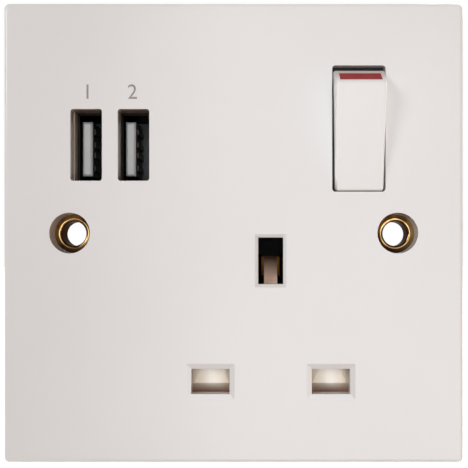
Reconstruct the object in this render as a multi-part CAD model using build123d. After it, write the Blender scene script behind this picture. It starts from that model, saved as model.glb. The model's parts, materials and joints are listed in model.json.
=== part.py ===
from build123d import *
import math
import os

# Switched wall socket with two USB ports, in millimetres.
# The wall is the plane y = 0, the front faces -Y, and the origin is the centre of the plate's rim.

# Face plate
PLATE_SIZE = 86.0
FACE_SIZE = 84.4
PLATE_DEPTH = 9.0
FACE_WALL = 2.5
SKIRT_WALL = 2.2
PLATE_CORNER = 1.0
FACE_EDGE = 0.6

# Fixing holes and their brass eyelets
FIXING_PITCH = 60.3
FIXING_HOLE = 7.5
FIXING_BOSS_WALL = 1.55
EYELET_SEAT_DEPTH = 3.6
EYELET_SHELF = 0.6
EYELET_BORE = 4.6
EYELET_WALL = 0.5
EYELET_ROLL = 0.85
EYELET_BEAD = 0.45
EYELET_CONE = 34.0
EYELET_SWAGE = 0.3
EYELET_BARREL = 1.9
EYELET_FIT = 0.05

# Pin holes of the socket
SOCKET_X = 6.8
EARTH_Z = -5.1
PIN_ROW_DROP = 22.2
PIN_SPAN = 22.2
LIVE_SLOT_WIDTH = 7.05
LIVE_SLOT_HEIGHT = 4.65
LIVE_FLARE = 0.95
LIVE_FLARE_DEPTH = 0.22
EARTH_SLOT_WIDTH = 4.6
EARTH_SLOT_HEIGHT = 8.6
EARTH_FLARE = 0.6
EARTH_FLARE_DEPTH = 0.2

# Shutter behind the pin holes
SHUTTER_TRAVEL = 5.5
SHUTTER_GAP = 0.2
SHUTTER_OVERLAP = 0.65
SHUTTER_CROWN = 0.5
PAD_SETBACK = 0.4
PAD_SLOPE = 0.3
PAD_KNEE_DROP = 0.8
PAD_FOOT_WALL = 0.9
BAR_LAP = 0.5
STEM_WIDTH = 3.5
STEM_DEPTH = 1.8
RAMP_WIDTH = 2.5
RAMP_DEPTH = 5.0
RAMP_HEIGHT = 5.4
RAMP_SETBACK = 0.2
GUIDE_WALL = 1.2
STOP_GAP = 0.1
SPRING_PEG = 1.6
SPRING_PEG_LENGTH = 1.0
SHUTTER_SPRING_DIAMETER = 3.0
SHUTTER_SPRING_WIRE = 0.45
SHUTTER_SPRING_LENGTH = 8.1
SHUTTER_SPRING_TURNS = 5
SPRING_SEAT_WIDTH = 6.0
SPRING_SEAT_WALL = 2.0

# Carrier plate that covers the shutter
CARRIER_THICK = 1.6
CARRIER_MARGIN = 2.0
CARRIER_CLEAR = 0.5
CARRIER_POST = 5.0
CARRIER_PIN = 2.0
CARRIER_FIT = 0.1
WINDOW_FIT = 0.3

# Switch rocker
SWITCH_X = 23.0
SWITCH_Z = 19.2
APERTURE_WIDTH = 9.8
APERTURE_HEIGHT = 23.2
APERTURE_CORNER = 0.6
APERTURE_RELIEF = 0.4
APERTURE_RELIEF_DEPTH = 1.0
ROCKER_ANGLE = 12.5
ROCKER_FRONT = 7.74
ROCKER_HEAD = 9.45
ROCKER_FOOT = 9.95
ROCKER_LOW_END = 0.3
ROCKER_HEAD_SLOPE = 22.5
ROCKER_FOOT_SLOPE = 16.0
ROCKER_END_LENGTH = 5.3
ROCKER_SKIRT = 1.9
ROCKER_RIM = 1.2
ROCKER_SIDE_GAP = 0.15
ROCKER_DRAFT = 0.3
ROCKER_WALL = 1.4
ROCKER_EDGE = 0.45
MARKER_WIDTH = 7.6
MARKER_HEIGHT = 3.0
MARKER_THICK = 0.4
MARKER_CORNER = 0.15
MARKER_SETBACK = 0.95
TRUNNION = 2.4
TRUNNION_FIT = 0.1
EAR_GAP = 0.3
EAR_WALL = 1.6
EAR_HALF = 2.4
EAR_REACH = 1.5
PLUNGER_DIAMETER = 3.0
PLUNGER_FIT = 0.1
PLUNGER_TIP = 8.85
PLUNGER_LENGTH = 6.8
PLUNGER_BOSS_WALL = 0.9
PLUNGER_BOSS_REAR = 5.6
PLUNGER_BORE_DEPTH = 9.6
PLUNGER_SPRING_WIRE = 0.4
PLUNGER_SPRING_TURNS = 4
PLUNGER_GAP = 0.15

# See-saw contact under the rocker
SHEET = 0.8
SEESAW_WIDTH = 5.0
SEESAW_REACH = 9.5
SEESAW_BEND = 6.0
SEESAW_ANGLE = 10.0
FULCRUM_GAP = 0.08
CONTACT_TIP = 3.0
CONTACT_TIP_HEIGHT = 0.6
CONTACT_REACH = 8.2
CONTACT_GAP = 0.06
FIXED_TIP_HEIGHT = 0.8
STOP_POST_WIDTH = 4.0
STOP_POST_HEIGHT = 2.4

# Brass contacts, strips and terminals
STRIP_WIDTH = 3.0
LIVE_CLIP_WIDTH = 6.0
EARTH_CLIP_HEIGHT = 4.5
EARTH_CLIP_DROP = 1.05
CLIP_PINCH = 3.6
CLIP_MOUTH = 5.0
CLIP_THROAT = 4.4
CLIP_START = 0.7
CLIP_LIP = 1.6
CLIP_NECK = 6.0
STRAP_WIDTH = 5.0
STRAP_LUG = 9.0
TERMINAL_SIZE = 8.0
TERMINAL_BORE = 4.6
TERMINAL_FIT = 0.1
TERMINAL_RIB = 1.0
TERMINAL_RIB_HEIGHT = 5.0
TERMINAL_SCREW = 3.4
TERMINAL_HEAD = 5.2
TERMINAL_HEAD_HEIGHT = 1.6
TERMINAL_SCREW_END = 1.0
SCREW_FIT = 0.1
ACCESS_FIT = 0.2
DRIVER_SLOT = 0.8
DRIVER_SLOT_DEPTH = 0.7
LINE_TERMINAL_X = 10.2
LINE_TERMINAL_Z = 22.0
SIDE_TERMINAL_X = -14.0
NEUTRAL_TERMINAL_Z = -20.0
EARTH_TERMINAL_Z = -6.0
FEED_RUN_Z = 28.0
FEED_LEG_CLEAR = 0.5
EARTH_RUN_Z = 1.0
EARTH_RISER_OFFSET = 4.6

# Rear housing
HOUSING_WIDTH = 66.0
HOUSING_HEIGHT = 67.0
HOUSING_DEPTH = 22.0
HOUSING_RIM = 1.0
HOUSING_WALL = 2.0
HOUSING_CORNER = 3.0
HOUSING_EDGE = 1.0
LUG_NOTCH_X = 22.5
LUG_NOTCH_HALF = 6.6
PARTITION = 1.4
PAD_SIZE = 4.0
WIRE_ENTRY_HEIGHT = 5.2
SHROUD_RISE = 0.8
SHROUD_MARGIN = 1.2
SHROUD_CORNER = 1.5
SHROUD_EDGE = 0.3
SCREW_INSET_X = 3.7
SCREW_INSET_Z = 4.2
UPPER_SCREW_X = 1.5
SCREW_BOSS = 6.0
SCREW_COLUMN = 7.0
SCREW_SHANK = 2.9
SCREW_PILOT = 3.0
SCREW_CLEARANCE_HOLE = 3.3
SCREW_HEAD = 5.0
SCREW_HEAD_HEIGHT = 1.8
SCREW_COUNTERBORE = 5.4
SCREW_SEAT_Y = 4.0
SCREW_LENGTH = 9.0

# USB ports and charger board
WINDOW_WIDTH = 5.8
WINDOW_HEIGHT = 13.2
WINDOW_PITCH = 8.7
WINDOW_CENTRE_X = -22.75
WINDOW_Z = 16.2
WINDOW_CORNER = 0.5
PORT_PITCH = 8.25
PORT_SHIFT = 0.03
SHELL_WIDTH = 5.72
SHELL_HEIGHT = 13.1
SHELL_WALL = 0.3
SHELL_GAP = 1.9
SHELL_LENGTH = 12.45
COLLAR_WALL = 1.2
COLLAR_DEPTH = 4.0
TONGUE_THICK = 1.84
TONGUE_HEIGHT = 10.3
TONGUE_EDGE = 0.35
TONGUE_OFFSET = 1.3
TONGUE_RECESS = 0.6
PORT_BASE_DEPTH = 4.6
PORT_FIT = 0.1
PIN_STRIP_WIDTH = 1.0
PIN_STRIP_THICK = 0.3
PIN_STRIP_SETBACK = 1.6
PIN_OFFSETS = (-3.5, -1.0, 1.0, 3.5)
BOARD_THICK = 1.6
BOARD_RIGHT = -1.0
BOARD_BOTTOM = 6.6
BOARD_CLEAR = 0.4
BOARD_STEP_CLEAR = 0.55
BOARD_POST = 4.0
BOARD_PIN = 1.8
BOARD_PIN_RISE = 0.6
BOARD_FIT = 0.1
BOARD_POST_INSET_X = 2.0
BOARD_POST_INSET_Z = 1.5
PORT_POST_RISE = 2.0
TRANSFORMER_X = -8.5
TRANSFORMER_Z = 16.2
CORE_WIDTH = 12.0
CORE_HEADROOM = 1.05
CORE_THICK = 6.0
CORE_LEG = 3.4
CORE_YOKE = 1.8
COIL_BUILD = 2.2
COIL_FIT = 0.1
BULK_DIAMETER = 6.3
BULK_HEADROOM = 0.75
BULK_PLACES = ((-18.2, 21.6), (-18.2, 14.6))
OUTPUT_DIAMETER = 5.0
OUTPUT_HEADROOM = 2.55
OUTPUT_PLACES = ((-25.6, 19.9), (-26.2, 14.6))
CAN_EDGE = 0.5
CHIP_SIZE = (5.0, 4.0, 1.6)
CHIP_PLACE = (-8.0, 15.5)
BRIDGE_SIZE = (6.5, 5.0, 2.4)
BRIDGE_PLACE = (-8.0, 10.0)
FUSE_DIAMETER = 3.2
FUSE_LENGTH = 8.5
FUSE_PLACE = (-8.0, 21.5)
LEAD_DIAMETER = 1.6
LEAD_BEND_SHARE = 0.6
LEAD_RIB_CLEAR = 1.15
LEAD_FIT = 0.2
LINE_LEAD_START = (-1.9, 20.4)
NEUTRAL_LEAD_START = (-7.5, 8.6)

# Depths along Y
Y_FACE = -PLATE_DEPTH
Y_BACK = Y_FACE + FACE_WALL
Y_SEAT = Y_FACE + EYELET_SEAT_DEPTH
Y_STRAP = Y_SEAT + EYELET_SHELF
Y_STRAP_REAR = Y_STRAP + SHEET
Y_RIM = -HOUSING_RIM
Y_REAR = HOUSING_DEPTH + SHROUD_RISE
Y_CARRIER = Y_RIM - CARRIER_THICK
Y_SHUTTER = Y_BACK + SHUTTER_GAP
Y_SHUTTER_REAR = Y_CARRIER - SHUTTER_GAP
Y_INNER = HOUSING_DEPTH - HOUSING_WALL
Y_STRIP = Y_INNER - TERMINAL_SIZE / 2 - SHEET / 2
Y_STRIP_REAR = Y_STRIP + SHEET
Y_TERMINAL = Y_INNER - TERMINAL_SIZE / 2
Y_CLIP = Y_RIM + CLIP_START
Y_SHELL = Y_BACK + SHELL_GAP
Y_BOARD = Y_SHELL + SHELL_LENGTH
Y_BOARD_REAR = Y_BOARD + BOARD_THICK
Y_TONGUE = Y_SHELL + TONGUE_RECESS
CORE_DEPTH = Y_INNER - CORE_HEADROOM - Y_BOARD_REAR
BULK_LENGTH = Y_INNER - BULK_HEADROOM - Y_BOARD_REAR
OUTPUT_LENGTH = Y_INNER - OUTPUT_HEADROOM - Y_BOARD_REAR
LEAD_Y = Y_INNER - TERMINAL_RIB_HEIGHT - LEAD_RIB_CLEAR - LEAD_DIAMETER / 2
LEAD_BEND = LEAD_BEND_SHARE * (LEAD_Y - Y_BOARD_REAR)

# Places on the face
LIVE_Z = EARTH_Z - PIN_ROW_DROP
LINE_X = SOCKET_X + PIN_SPAN / 2
NEUTRAL_X = SOCKET_X - PIN_SPAN / 2
EYELET_OUTER = EYELET_BORE + 2 * EYELET_WALL
PORT_CENTRE_X = WINDOW_CENTRE_X + PORT_SHIFT
PORT_PLACES = {"left": PORT_CENTRE_X - PORT_PITCH / 2, "right": PORT_CENTRE_X + PORT_PITCH / 2}
EYELET_PLACES = {"left": -FIXING_PITCH / 2, "right": FIXING_PITCH / 2}
HOUSING_SCREW_X = HOUSING_WIDTH / 2 - SCREW_INSET_X
HOUSING_SCREW_Z = HOUSING_HEIGHT / 2 - SCREW_INSET_Z
SCREW_PLACES = (
    (-HOUSING_SCREW_X, HOUSING_SCREW_Z),
    (UPPER_SCREW_X, HOUSING_SCREW_Z),
    (-HOUSING_SCREW_X, -HOUSING_SCREW_Z),
    (HOUSING_SCREW_X, -HOUSING_SCREW_Z),
)
TERMINAL_PLACES = {
    "line": (LINE_TERMINAL_X, LINE_TERMINAL_Z),
    "neutral": (SIDE_TERMINAL_X, NEUTRAL_TERMINAL_Z),
    "earth": (SIDE_TERMINAL_X, EARTH_TERMINAL_Z),
}

# Board outline inside the housing
BOARD_LEFT = -HOUSING_WIDTH / 2 + HOUSING_WALL + BOARD_CLEAR
BOARD_TOP = HOUSING_SCREW_Z - SCREW_COLUMN / 2 - BOARD_CLEAR
BOARD_STEP_X = -LUG_NOTCH_X + HOUSING_WALL + BOARD_STEP_CLEAR
BOARD_STEP_Z = LUG_NOTCH_HALF + HOUSING_WALL + BOARD_STEP_CLEAR
BOARD_POSTS = (
    (BOARD_LEFT + BOARD_POST_INSET_X, BOARD_TOP - BOARD_POST_INSET_Z),
    (BOARD_RIGHT - BOARD_POST_INSET_X, BOARD_TOP - BOARD_POST_INSET_Z),
    (BOARD_RIGHT - BOARD_POST_INSET_X, BOARD_BOTTOM + BOARD_POST_INSET_X),
    (PORT_CENTRE_X, BOARD_STEP_Z + PORT_POST_RISE),
)

# Shutter outline
PAD_WIDTH = LIVE_SLOT_WIDTH + 2 * SHUTTER_OVERLAP
PAD_HEIGHT = LIVE_SLOT_HEIGHT + 2 * SHUTTER_OVERLAP
PAD_TOP = LIVE_Z + PAD_HEIGHT / 2
PAD_BOTTOM = LIVE_Z - PAD_HEIGHT / 2
RAMP_FOOT = EARTH_Z - EARTH_SLOT_HEIGHT / 2 - RAMP_SETBACK
RAMP_TOP = RAMP_FOOT + RAMP_HEIGHT
SPRING_Y = (Y_SHUTTER + Y_SHUTTER_REAR) / 2
SPRING_SEAT_Z = PAD_BOTTOM - SHUTTER_SPRING_LENGTH
CARRIER_LEFT = NEUTRAL_X - PAD_WIDTH / 2 - CARRIER_MARGIN
CARRIER_RIGHT = LINE_X + PAD_WIDTH / 2 + CARRIER_MARGIN
CARRIER_BOTTOM = -HOUSING_HEIGHT / 2
WING_TOP = EARTH_RUN_Z + STRIP_WIDTH / 2
CARRIER_TOP = WING_TOP - SHEET - CARRIER_CLEAR
STRAP_Z = CARRIER_TOP + CARRIER_CLEAR
POST_INSET = CARRIER_POST / 2
CARRIER_POSTS = tuple(
    (x, z)
    for x in (CARRIER_LEFT + POST_INSET, CARRIER_RIGHT - POST_INSET)
    for z in (CARRIER_TOP - POST_INSET, (EARTH_Z + LIVE_Z) / 2)
)

# Switch geometry, from the rocker's two resting positions
TILT = math.radians(ROCKER_ANGLE)
PIVOT_Y = Y_FACE + ROCKER_FRONT * math.cos(TILT) - ROCKER_FOOT * math.sin(TILT) - ROCKER_LOW_END
ROCKER_WIDTH = APERTURE_WIDTH - 2 * ROCKER_SIDE_GAP
FULCRUM_Y = PIVOT_Y + PLUNGER_TIP + PLUNGER_GAP + SHEET + FULCRUM_GAP + SHEET / 2
SEESAW_BACK = -SHEET / 2 - FULCRUM_GAP
PLUNGER_BORE = PLUNGER_DIAMETER + 2 * PLUNGER_FIT


def at_depth(y):
    """The plane parallel to the wall at depth y, with X right and Z up."""
    return Plane.XZ.offset(-y)


def slab(outline, y_front, y_rear):
    """Extrude a front-view outline from y_front back to y_rear."""
    return extrude(at_depth(y_rear) * outline, amount=y_rear - y_front)


def ribbon(profile, x_mid, width):
    """Extrude a side-view profile of (Y, Z) evenly about x_mid."""
    return extrude(Plane.YZ.offset(x_mid) * profile, amount=width / 2, both=True)


def column(profile, z_mid, height):
    """Extrude a plan-view profile of (X, Y) evenly about z_mid."""
    return extrude(Plane.XY.offset(z_mid) * profile, amount=height / 2, both=True)


def post(x, z, diameter, y_front, y_rear):
    """A round post along the depth."""
    return slab(Pos(x, z) * Circle(diameter / 2), y_front, y_rear)


def panel(left, right, bottom, top):
    """A front-view rectangle given by its four sides."""
    return Pos((left + right) / 2, (bottom + top) / 2) * Rectangle(right - left, top - bottom)


def polygon(*points):
    """A closed outline through the points."""
    return make_face(Polyline(*points, close=True))


def strip(width, *points):
    """A flat stamped strip of even width along a right-angled path."""
    outline = Sketch()
    for (xa, za), (xb, zb) in zip(points, points[1:]):
        run = Rectangle(abs(xb - xa) + width, abs(zb - za) + width)
        outline += Pos((xa + xb) / 2, (za + zb) / 2) * run
    return outline


def joined(pieces):
    """Fuse a list of solids."""
    whole = pieces[0]
    for piece in pieces[1:]:
        whole = whole + piece
    return whole


def turned(y, z, degrees):
    """The point (y, z) turned about the X axis."""
    angle = math.radians(degrees)
    return (y * math.cos(angle) - z * math.sin(angle), y * math.sin(angle) + z * math.cos(angle))


def plate_outline(y, inset):
    """The drafted square of the face plate at depth y, set in on every side."""
    size = PLATE_SIZE + (FACE_SIZE - PLATE_SIZE) * y / Y_FACE - 2 * inset
    return at_depth(y) * RectangleRounded(size, size, PLATE_CORNER)


def flared_slot(x, z, width, height, flare, flare_depth):
    """A pin hole with bevelled sides at the front."""
    throat = slab(Pos(x, z) * Rectangle(width, height), Y_FACE, Y_BACK)
    mouth = at_depth(Y_FACE) * Pos(x, z) * Rectangle(width + 2 * flare, height + 2 * flare)
    neck = at_depth(Y_FACE + flare_depth) * Pos(x, z) * Rectangle(width, height)
    return throat + loft([mouth, neck], ruled=True)


def switch_aperture():
    """The rocker's opening, relieved at its upper and lower ends towards the rear."""
    outline = Pos(SWITCH_X, SWITCH_Z) * RectangleRounded(APERTURE_WIDTH, APERTURE_HEIGHT, APERTURE_CORNER)
    neck = Pos(SWITCH_X, SWITCH_Z) * Rectangle(APERTURE_WIDTH, APERTURE_HEIGHT)
    wide = Pos(SWITCH_X, SWITCH_Z) * Rectangle(APERTURE_WIDTH, APERTURE_HEIGHT + 2 * APERTURE_RELIEF)
    relief = loft([at_depth(Y_BACK - APERTURE_RELIEF_DEPTH) * neck, at_depth(Y_BACK) * wide], ruled=True)
    return slab(outline, Y_FACE, Y_BACK) + relief


def bearing_ear(x_mid):
    """One ear behind the plate, with a notch for the rocker's trunnion that is open at the rear."""
    bore = TRUNNION / 2 + TRUNNION_FIT
    reach = PIVOT_Y + EAR_REACH
    wall = panel(Y_BACK, reach, SWITCH_Z - EAR_HALF, SWITCH_Z + EAR_HALF)
    notch = Pos(PIVOT_Y, SWITCH_Z) * Circle(bore)
    notch += panel(PIVOT_Y, reach, SWITCH_Z - bore, SWITCH_Z + bore)
    return ribbon(wall - notch, x_mid, EAR_WALL)


def port_collar():
    """The wall behind the windows that holds the two port shells."""
    half_w = SHELL_WIDTH / 2 + PORT_FIT
    half_h = SHELL_HEIGHT / 2 + PORT_FIT
    outline = panel(
        PORT_PLACES["left"] - half_w - COLLAR_WALL,
        PORT_PLACES["right"] + half_w + COLLAR_WALL,
        WINDOW_Z - half_h - COLLAR_WALL,
        WINDOW_Z + half_h + COLLAR_WALL,
    )
    for x in PORT_PLACES.values():
        outline -= Pos(x, WINDOW_Z) * Rectangle(2 * half_w, 2 * half_h)
    return slab(outline, Y_BACK, Y_BACK + COLLAR_DEPTH)


def shutter_guides():
    """Two ribs beside the shutter's stem and the seat of its spring."""
    inner = STEM_WIDTH / 2 + SHUTTER_GAP
    top = RAMP_FOOT - SHUTTER_TRAVEL / 2
    outline = Sketch()
    for side in (-1, 1):
        x = SOCKET_X + side * (inner + GUIDE_WALL / 2)
        outline += panel(x - GUIDE_WALL / 2, x + GUIDE_WALL / 2, PAD_TOP + STOP_GAP, top)
    seat_half = SPRING_SEAT_WIDTH / 2
    outline += panel(
        SOCKET_X - seat_half, SOCKET_X + seat_half, SPRING_SEAT_Z - SPRING_SEAT_WALL, SPRING_SEAT_Z
    )
    ribs = slab(outline, Y_BACK, Y_CARRIER)
    peg = Pos(SOCKET_X, SPRING_Y, SPRING_SEAT_Z) * Cylinder(
        SPRING_PEG / 2, SPRING_PEG_LENGTH, align=(Align.CENTER, Align.CENTER, Align.MIN)
    )
    return ribs + peg


def face_plate():
    """The square front moulding with everything that is moulded on its back."""
    body = loft([plate_outline(0, 0), plate_outline(Y_FACE, 0)], ruled=True)
    body = fillet(body.faces().sort_by(Axis.Y)[0].edges(), FACE_EDGE)
    body -= loft([plate_outline(0, SKIRT_WALL), plate_outline(Y_BACK, SKIRT_WALL)], ruled=True)
    added = [port_collar(), shutter_guides()]
    for x in EYELET_PLACES.values():
        added.append(post(x, 0, FIXING_HOLE + 2 * FIXING_BOSS_WALL, Y_BACK, Y_STRAP))
    for x, z in SCREW_PLACES:
        added.append(post(x, z, SCREW_BOSS, Y_BACK, Y_RIM) - post(x, z, SCREW_PILOT, Y_BACK, Y_RIM))
    for x, z in CARRIER_POSTS:
        added.append(post(x, z, CARRIER_POST, Y_BACK, Y_CARRIER) + post(x, z, CARRIER_PIN, Y_CARRIER, Y_RIM))
    ear_offset = APERTURE_WIDTH / 2 + EAR_GAP + EAR_WALL / 2
    for side in (-1, 1):
        added.append(bearing_ear(SWITCH_X + side * ear_offset))
    body = joined([body] + added)
    for x in (LINE_X, NEUTRAL_X):
        body -= flared_slot(x, LIVE_Z, LIVE_SLOT_WIDTH, LIVE_SLOT_HEIGHT, LIVE_FLARE, LIVE_FLARE_DEPTH)
    body -= flared_slot(
        SOCKET_X, EARTH_Z, EARTH_SLOT_WIDTH, EARTH_SLOT_HEIGHT, EARTH_FLARE, EARTH_FLARE_DEPTH
    )
    body -= switch_aperture()
    for side in (-1, 1):
        window = RectangleRounded(WINDOW_WIDTH, WINDOW_HEIGHT, WINDOW_CORNER)
        place = Pos(WINDOW_CENTRE_X + side * WINDOW_PITCH / 2, WINDOW_Z)
        body -= slab(place * window, Y_FACE, Y_BACK)
    for x in EYELET_PLACES.values():
        body -= post(x, 0, FIXING_HOLE, Y_FACE, Y_SEAT)
        body -= post(x, 0, EYELET_OUTER + 2 * EYELET_FIT, Y_SEAT, Y_STRAP)
    return body


def eyelet(x):
    """A brass eyelet: a bead round the bore, a coned flange in the counterbore, and a swaged barrel."""
    bore = EYELET_BORE / 2
    tube = EYELET_OUTER / 2
    flange = FIXING_HOLE / 2 - 2 * EYELET_FIT
    cone = math.radians(EYELET_CONE)
    bead = bore + EYELET_BEAD
    bead_y = Y_SEAT - EYELET_ROLL + EYELET_BEAD
    shoulder = bead + EYELET_BEAD * math.sin(cone)
    shoulder_y = bead_y - EYELET_BEAD * math.cos(cone)
    outline = Polyline(
        (shoulder, shoulder_y),
        (flange, shoulder_y + (flange - shoulder) * math.tan(cone)),
        (flange, Y_SEAT),
        (tube, Y_SEAT),
        (tube, Y_STRAP_REAR),
        (tube + EYELET_SWAGE, Y_STRAP_REAR + EYELET_SWAGE),
        (tube, Y_STRAP_REAR + 2 * EYELET_SWAGE),
        (tube, Y_STRAP_REAR + EYELET_BARREL),
        (bore, Y_STRAP_REAR + EYELET_BARREL),
        (bore, bead_y),
    )
    roll = ThreePointArc((bore, bead_y), (bead, Y_SEAT - EYELET_ROLL), (shoulder, shoulder_y))
    return Pos(x, 0, 0) * revolve(make_face(outline + roll), axis=Axis.Y)


def earth_strap():
    """The strap that joins both eyelets to earth."""
    half = FIXING_PITCH / 2
    outline = panel(-half, half, STRAP_Z, STRAP_Z + STRAP_WIDTH)
    for x in EYELET_PLACES.values():
        outline += Pos(x, 0) * Circle(STRAP_LUG / 2)
    for x in EYELET_PLACES.values():
        outline -= Pos(x, 0) * Circle(EYELET_OUTER / 2 + EYELET_FIT)
    return slab(outline, Y_STRAP, Y_STRAP_REAR)


def clip_profile(across_mid, across_first):
    """The sheet section of a sprung pin clip, open to the front, as depth against width."""
    mid = SHEET / 2
    mouth = CLIP_MOUTH / 2 + mid
    pinch = CLIP_PINCH / 2 + mid
    throat = CLIP_THROAT / 2 + mid
    bottom = Y_STRIP + mid
    half = [
        (Y_CLIP, mouth),
        (Y_CLIP + CLIP_LIP, pinch),
        (Y_CLIP + CLIP_NECK, throat),
        (bottom, throat),
    ]
    path = half + [(depth, -across) for depth, across in reversed(half)]
    if across_first:
        points = [(across_mid + across, depth) for depth, across in path]
    else:
        points = [(depth, across_mid + across) for depth, across in path]
    return trace(Polyline(*points), SHEET)


def live_clip(x):
    """A clip that grips a flat pin above and below."""
    return ribbon(clip_profile(LIVE_Z, False), x, LIVE_CLIP_WIDTH)


def line_contact():
    """The line clip, the strip that rises from it, and the fulcrum of the see-saw at its end."""
    head = strip(STRIP_WIDTH, (LINE_X, LIVE_Z), (LINE_X, SWITCH_Z))
    head += panel(LINE_X, SWITCH_X + SEESAW_WIDTH / 2, SWITCH_Z - STRIP_WIDTH / 2, SWITCH_Z + SHEET / 2)
    nose = panel(FULCRUM_Y, Y_STRIP_REAR, SWITCH_Z - SHEET / 2, SWITCH_Z + SHEET / 2)
    nose += Pos(FULCRUM_Y, SWITCH_Z) * Circle(SHEET / 2)
    return joined(
        [live_clip(LINE_X), slab(head, Y_STRIP, Y_STRIP_REAR), ribbon(nose, SWITCH_X, SEESAW_WIDTH)]
    )


def neutral_contact():
    """The neutral clip and the strip from it into its terminal."""
    tail = strip(
        STRIP_WIDTH, (NEUTRAL_X, LIVE_Z), (SIDE_TERMINAL_X, LIVE_Z), (SIDE_TERMINAL_X, NEUTRAL_TERMINAL_Z)
    )
    return live_clip(NEUTRAL_X) + slab(tail, Y_STRIP, Y_STRIP_REAR)


def earth_contact():
    """The earth clip, the strip into its terminal, and the wing that meets the strap."""
    clip_z = EARTH_Z - EARTH_CLIP_DROP
    clip = column(clip_profile(SOCKET_X, True), clip_z, EARTH_CLIP_HEIGHT)
    riser_x = SOCKET_X - EARTH_RISER_OFFSET
    tail = strip(
        STRIP_WIDTH,
        (SOCKET_X, clip_z),
        (riser_x, clip_z),
        (riser_x, EARTH_RUN_Z),
        (SIDE_TERMINAL_X, EARTH_RUN_Z),
        (SIDE_TERMINAL_X, EARTH_TERMINAL_Z),
    )
    wing = panel(Y_STRAP_REAR, Y_STRIP_REAR, WING_TOP - SHEET, WING_TOP)
    return joined([clip, slab(tail, Y_STRIP, Y_STRIP_REAR), ribbon(wing, riser_x, STRIP_WIDTH)])


def seesaw_point(reach, height, degrees):
    """A point on the upper arm's rear face, raised off it, seen from the fulcrum's axis."""
    bend = math.radians(SEESAW_BEND)
    y = SEESAW_BACK - reach * math.sin(bend) + height * math.cos(bend)
    z = reach * math.cos(bend) + height * math.sin(bend)
    return turned(y, z, degrees)


CLOSED_Y, CLOSED_Z = seesaw_point(CONTACT_REACH, CONTACT_TIP_HEIGHT, -SEESAW_ANGLE)
STOP_Y, STOP_Z = seesaw_point(SEESAW_REACH, 0, -SEESAW_ANGLE)
FIXED_TIP_Y = FULCRUM_Y + CLOSED_Y + CONTACT_GAP
FIXED_TIP_Z = SWITCH_Z + CLOSED_Z
FEED_Y = FIXED_TIP_Y + FIXED_TIP_HEIGHT


def seesaw_place():
    """The fulcrum's axis, turned to the closed position."""
    return Pos(SWITCH_X, FULCRUM_Y, SWITCH_Z) * Rot(-SEESAW_ANGLE, 0, 0)


def moving_contact():
    """The see-saw strip, bent to a shallow valley that sits on the fulcrum."""
    bend = math.radians(SEESAW_BEND)
    valley = SEESAW_BACK - SHEET / 2 / math.cos(bend)
    end_y = valley - SEESAW_REACH * math.sin(bend)
    end_z = SEESAW_REACH * math.cos(bend)
    path = Polyline((end_y, -end_z), (valley, 0), (end_y, end_z))
    return seesaw_place() * ribbon(trace(path, SHEET), 0, SEESAW_WIDTH)


def moving_contact_tip():
    """The domed silver tip on the see-saw's upper end."""
    foot_y, foot_z = seesaw_point(CONTACT_REACH, 0, 0)
    half = CONTACT_TIP / 2
    ball = (half**2 + CONTACT_TIP_HEIGHT**2) / (2 * CONTACT_TIP_HEIGHT)
    dome = Pos(0, CONTACT_TIP_HEIGHT - ball, 0) * Sphere(ball)
    tip = dome & post(0, 0, 2 * ball, 0, CONTACT_TIP_HEIGHT)
    return seesaw_place() * Pos(0, foot_y, foot_z) * Rot(SEESAW_BEND, 0, 0) * tip


def fixed_contact_tip():
    """The silver tip on the line feed."""
    return post(SWITCH_X, FIXED_TIP_Z, CONTACT_TIP, FIXED_TIP_Y, FEED_Y)


def line_feed():
    """The folded strip from the line terminal round to the fixed contact."""
    mid = SHEET / 2
    leg_x = SWITCH_X + SEESAW_WIDTH / 2 + FEED_LEG_CLEAR + mid
    path = Polyline(
        (LINE_TERMINAL_X - STRIP_WIDTH / 2, Y_TERMINAL),
        (leg_x, Y_TERMINAL),
        (leg_x, FEED_Y + mid),
        (SWITCH_X - SEESAW_WIDTH / 2, FEED_Y + mid),
    )
    folded = column(trace(path, SHEET), FEED_RUN_Z, STRIP_WIDTH)
    tail = strip(STRIP_WIDTH, (LINE_TERMINAL_X, FEED_RUN_Z), (LINE_TERMINAL_X, LINE_TERMINAL_Z))
    return folded + slab(tail, Y_STRIP, Y_STRIP_REAR)


def terminal(x, z):
    """A brass terminal block with its wire bore along Z and its screw hole from the rear."""
    block = Pos(x, Y_TERMINAL, z) * Box(TERMINAL_SIZE, TERMINAL_SIZE, TERMINAL_SIZE)
    bore = Pos(x, Y_TERMINAL, z) * Cylinder(TERMINAL_BORE / 2, TERMINAL_SIZE)
    return block - bore - post(x, z, TERMINAL_SCREW + 2 * SCREW_FIT, Y_TERMINAL, Y_INNER)


def driver_slot(x, z, length, y_top, y_bottom):
    """A screwdriver slot across a head that faces the rear."""
    return slab(Pos(x, z) * Rectangle(length, DRIVER_SLOT), y_bottom, y_top)


def terminal_screws():
    """The three clamping screws, backed out to take a wire."""
    screws = []
    for x, z in TERMINAL_PLACES.values():
        head_top = Y_INNER + TERMINAL_HEAD_HEIGHT
        screw = post(x, z, TERMINAL_SCREW, Y_TERMINAL + TERMINAL_SCREW_END, Y_INNER)
        screw += post(x, z, TERMINAL_HEAD, Y_INNER, head_top)
        screws.append(screw - driver_slot(x, z, TERMINAL_HEAD, head_top, head_top - DRIVER_SLOT_DEPTH))
    return Compound(children=screws)


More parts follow.
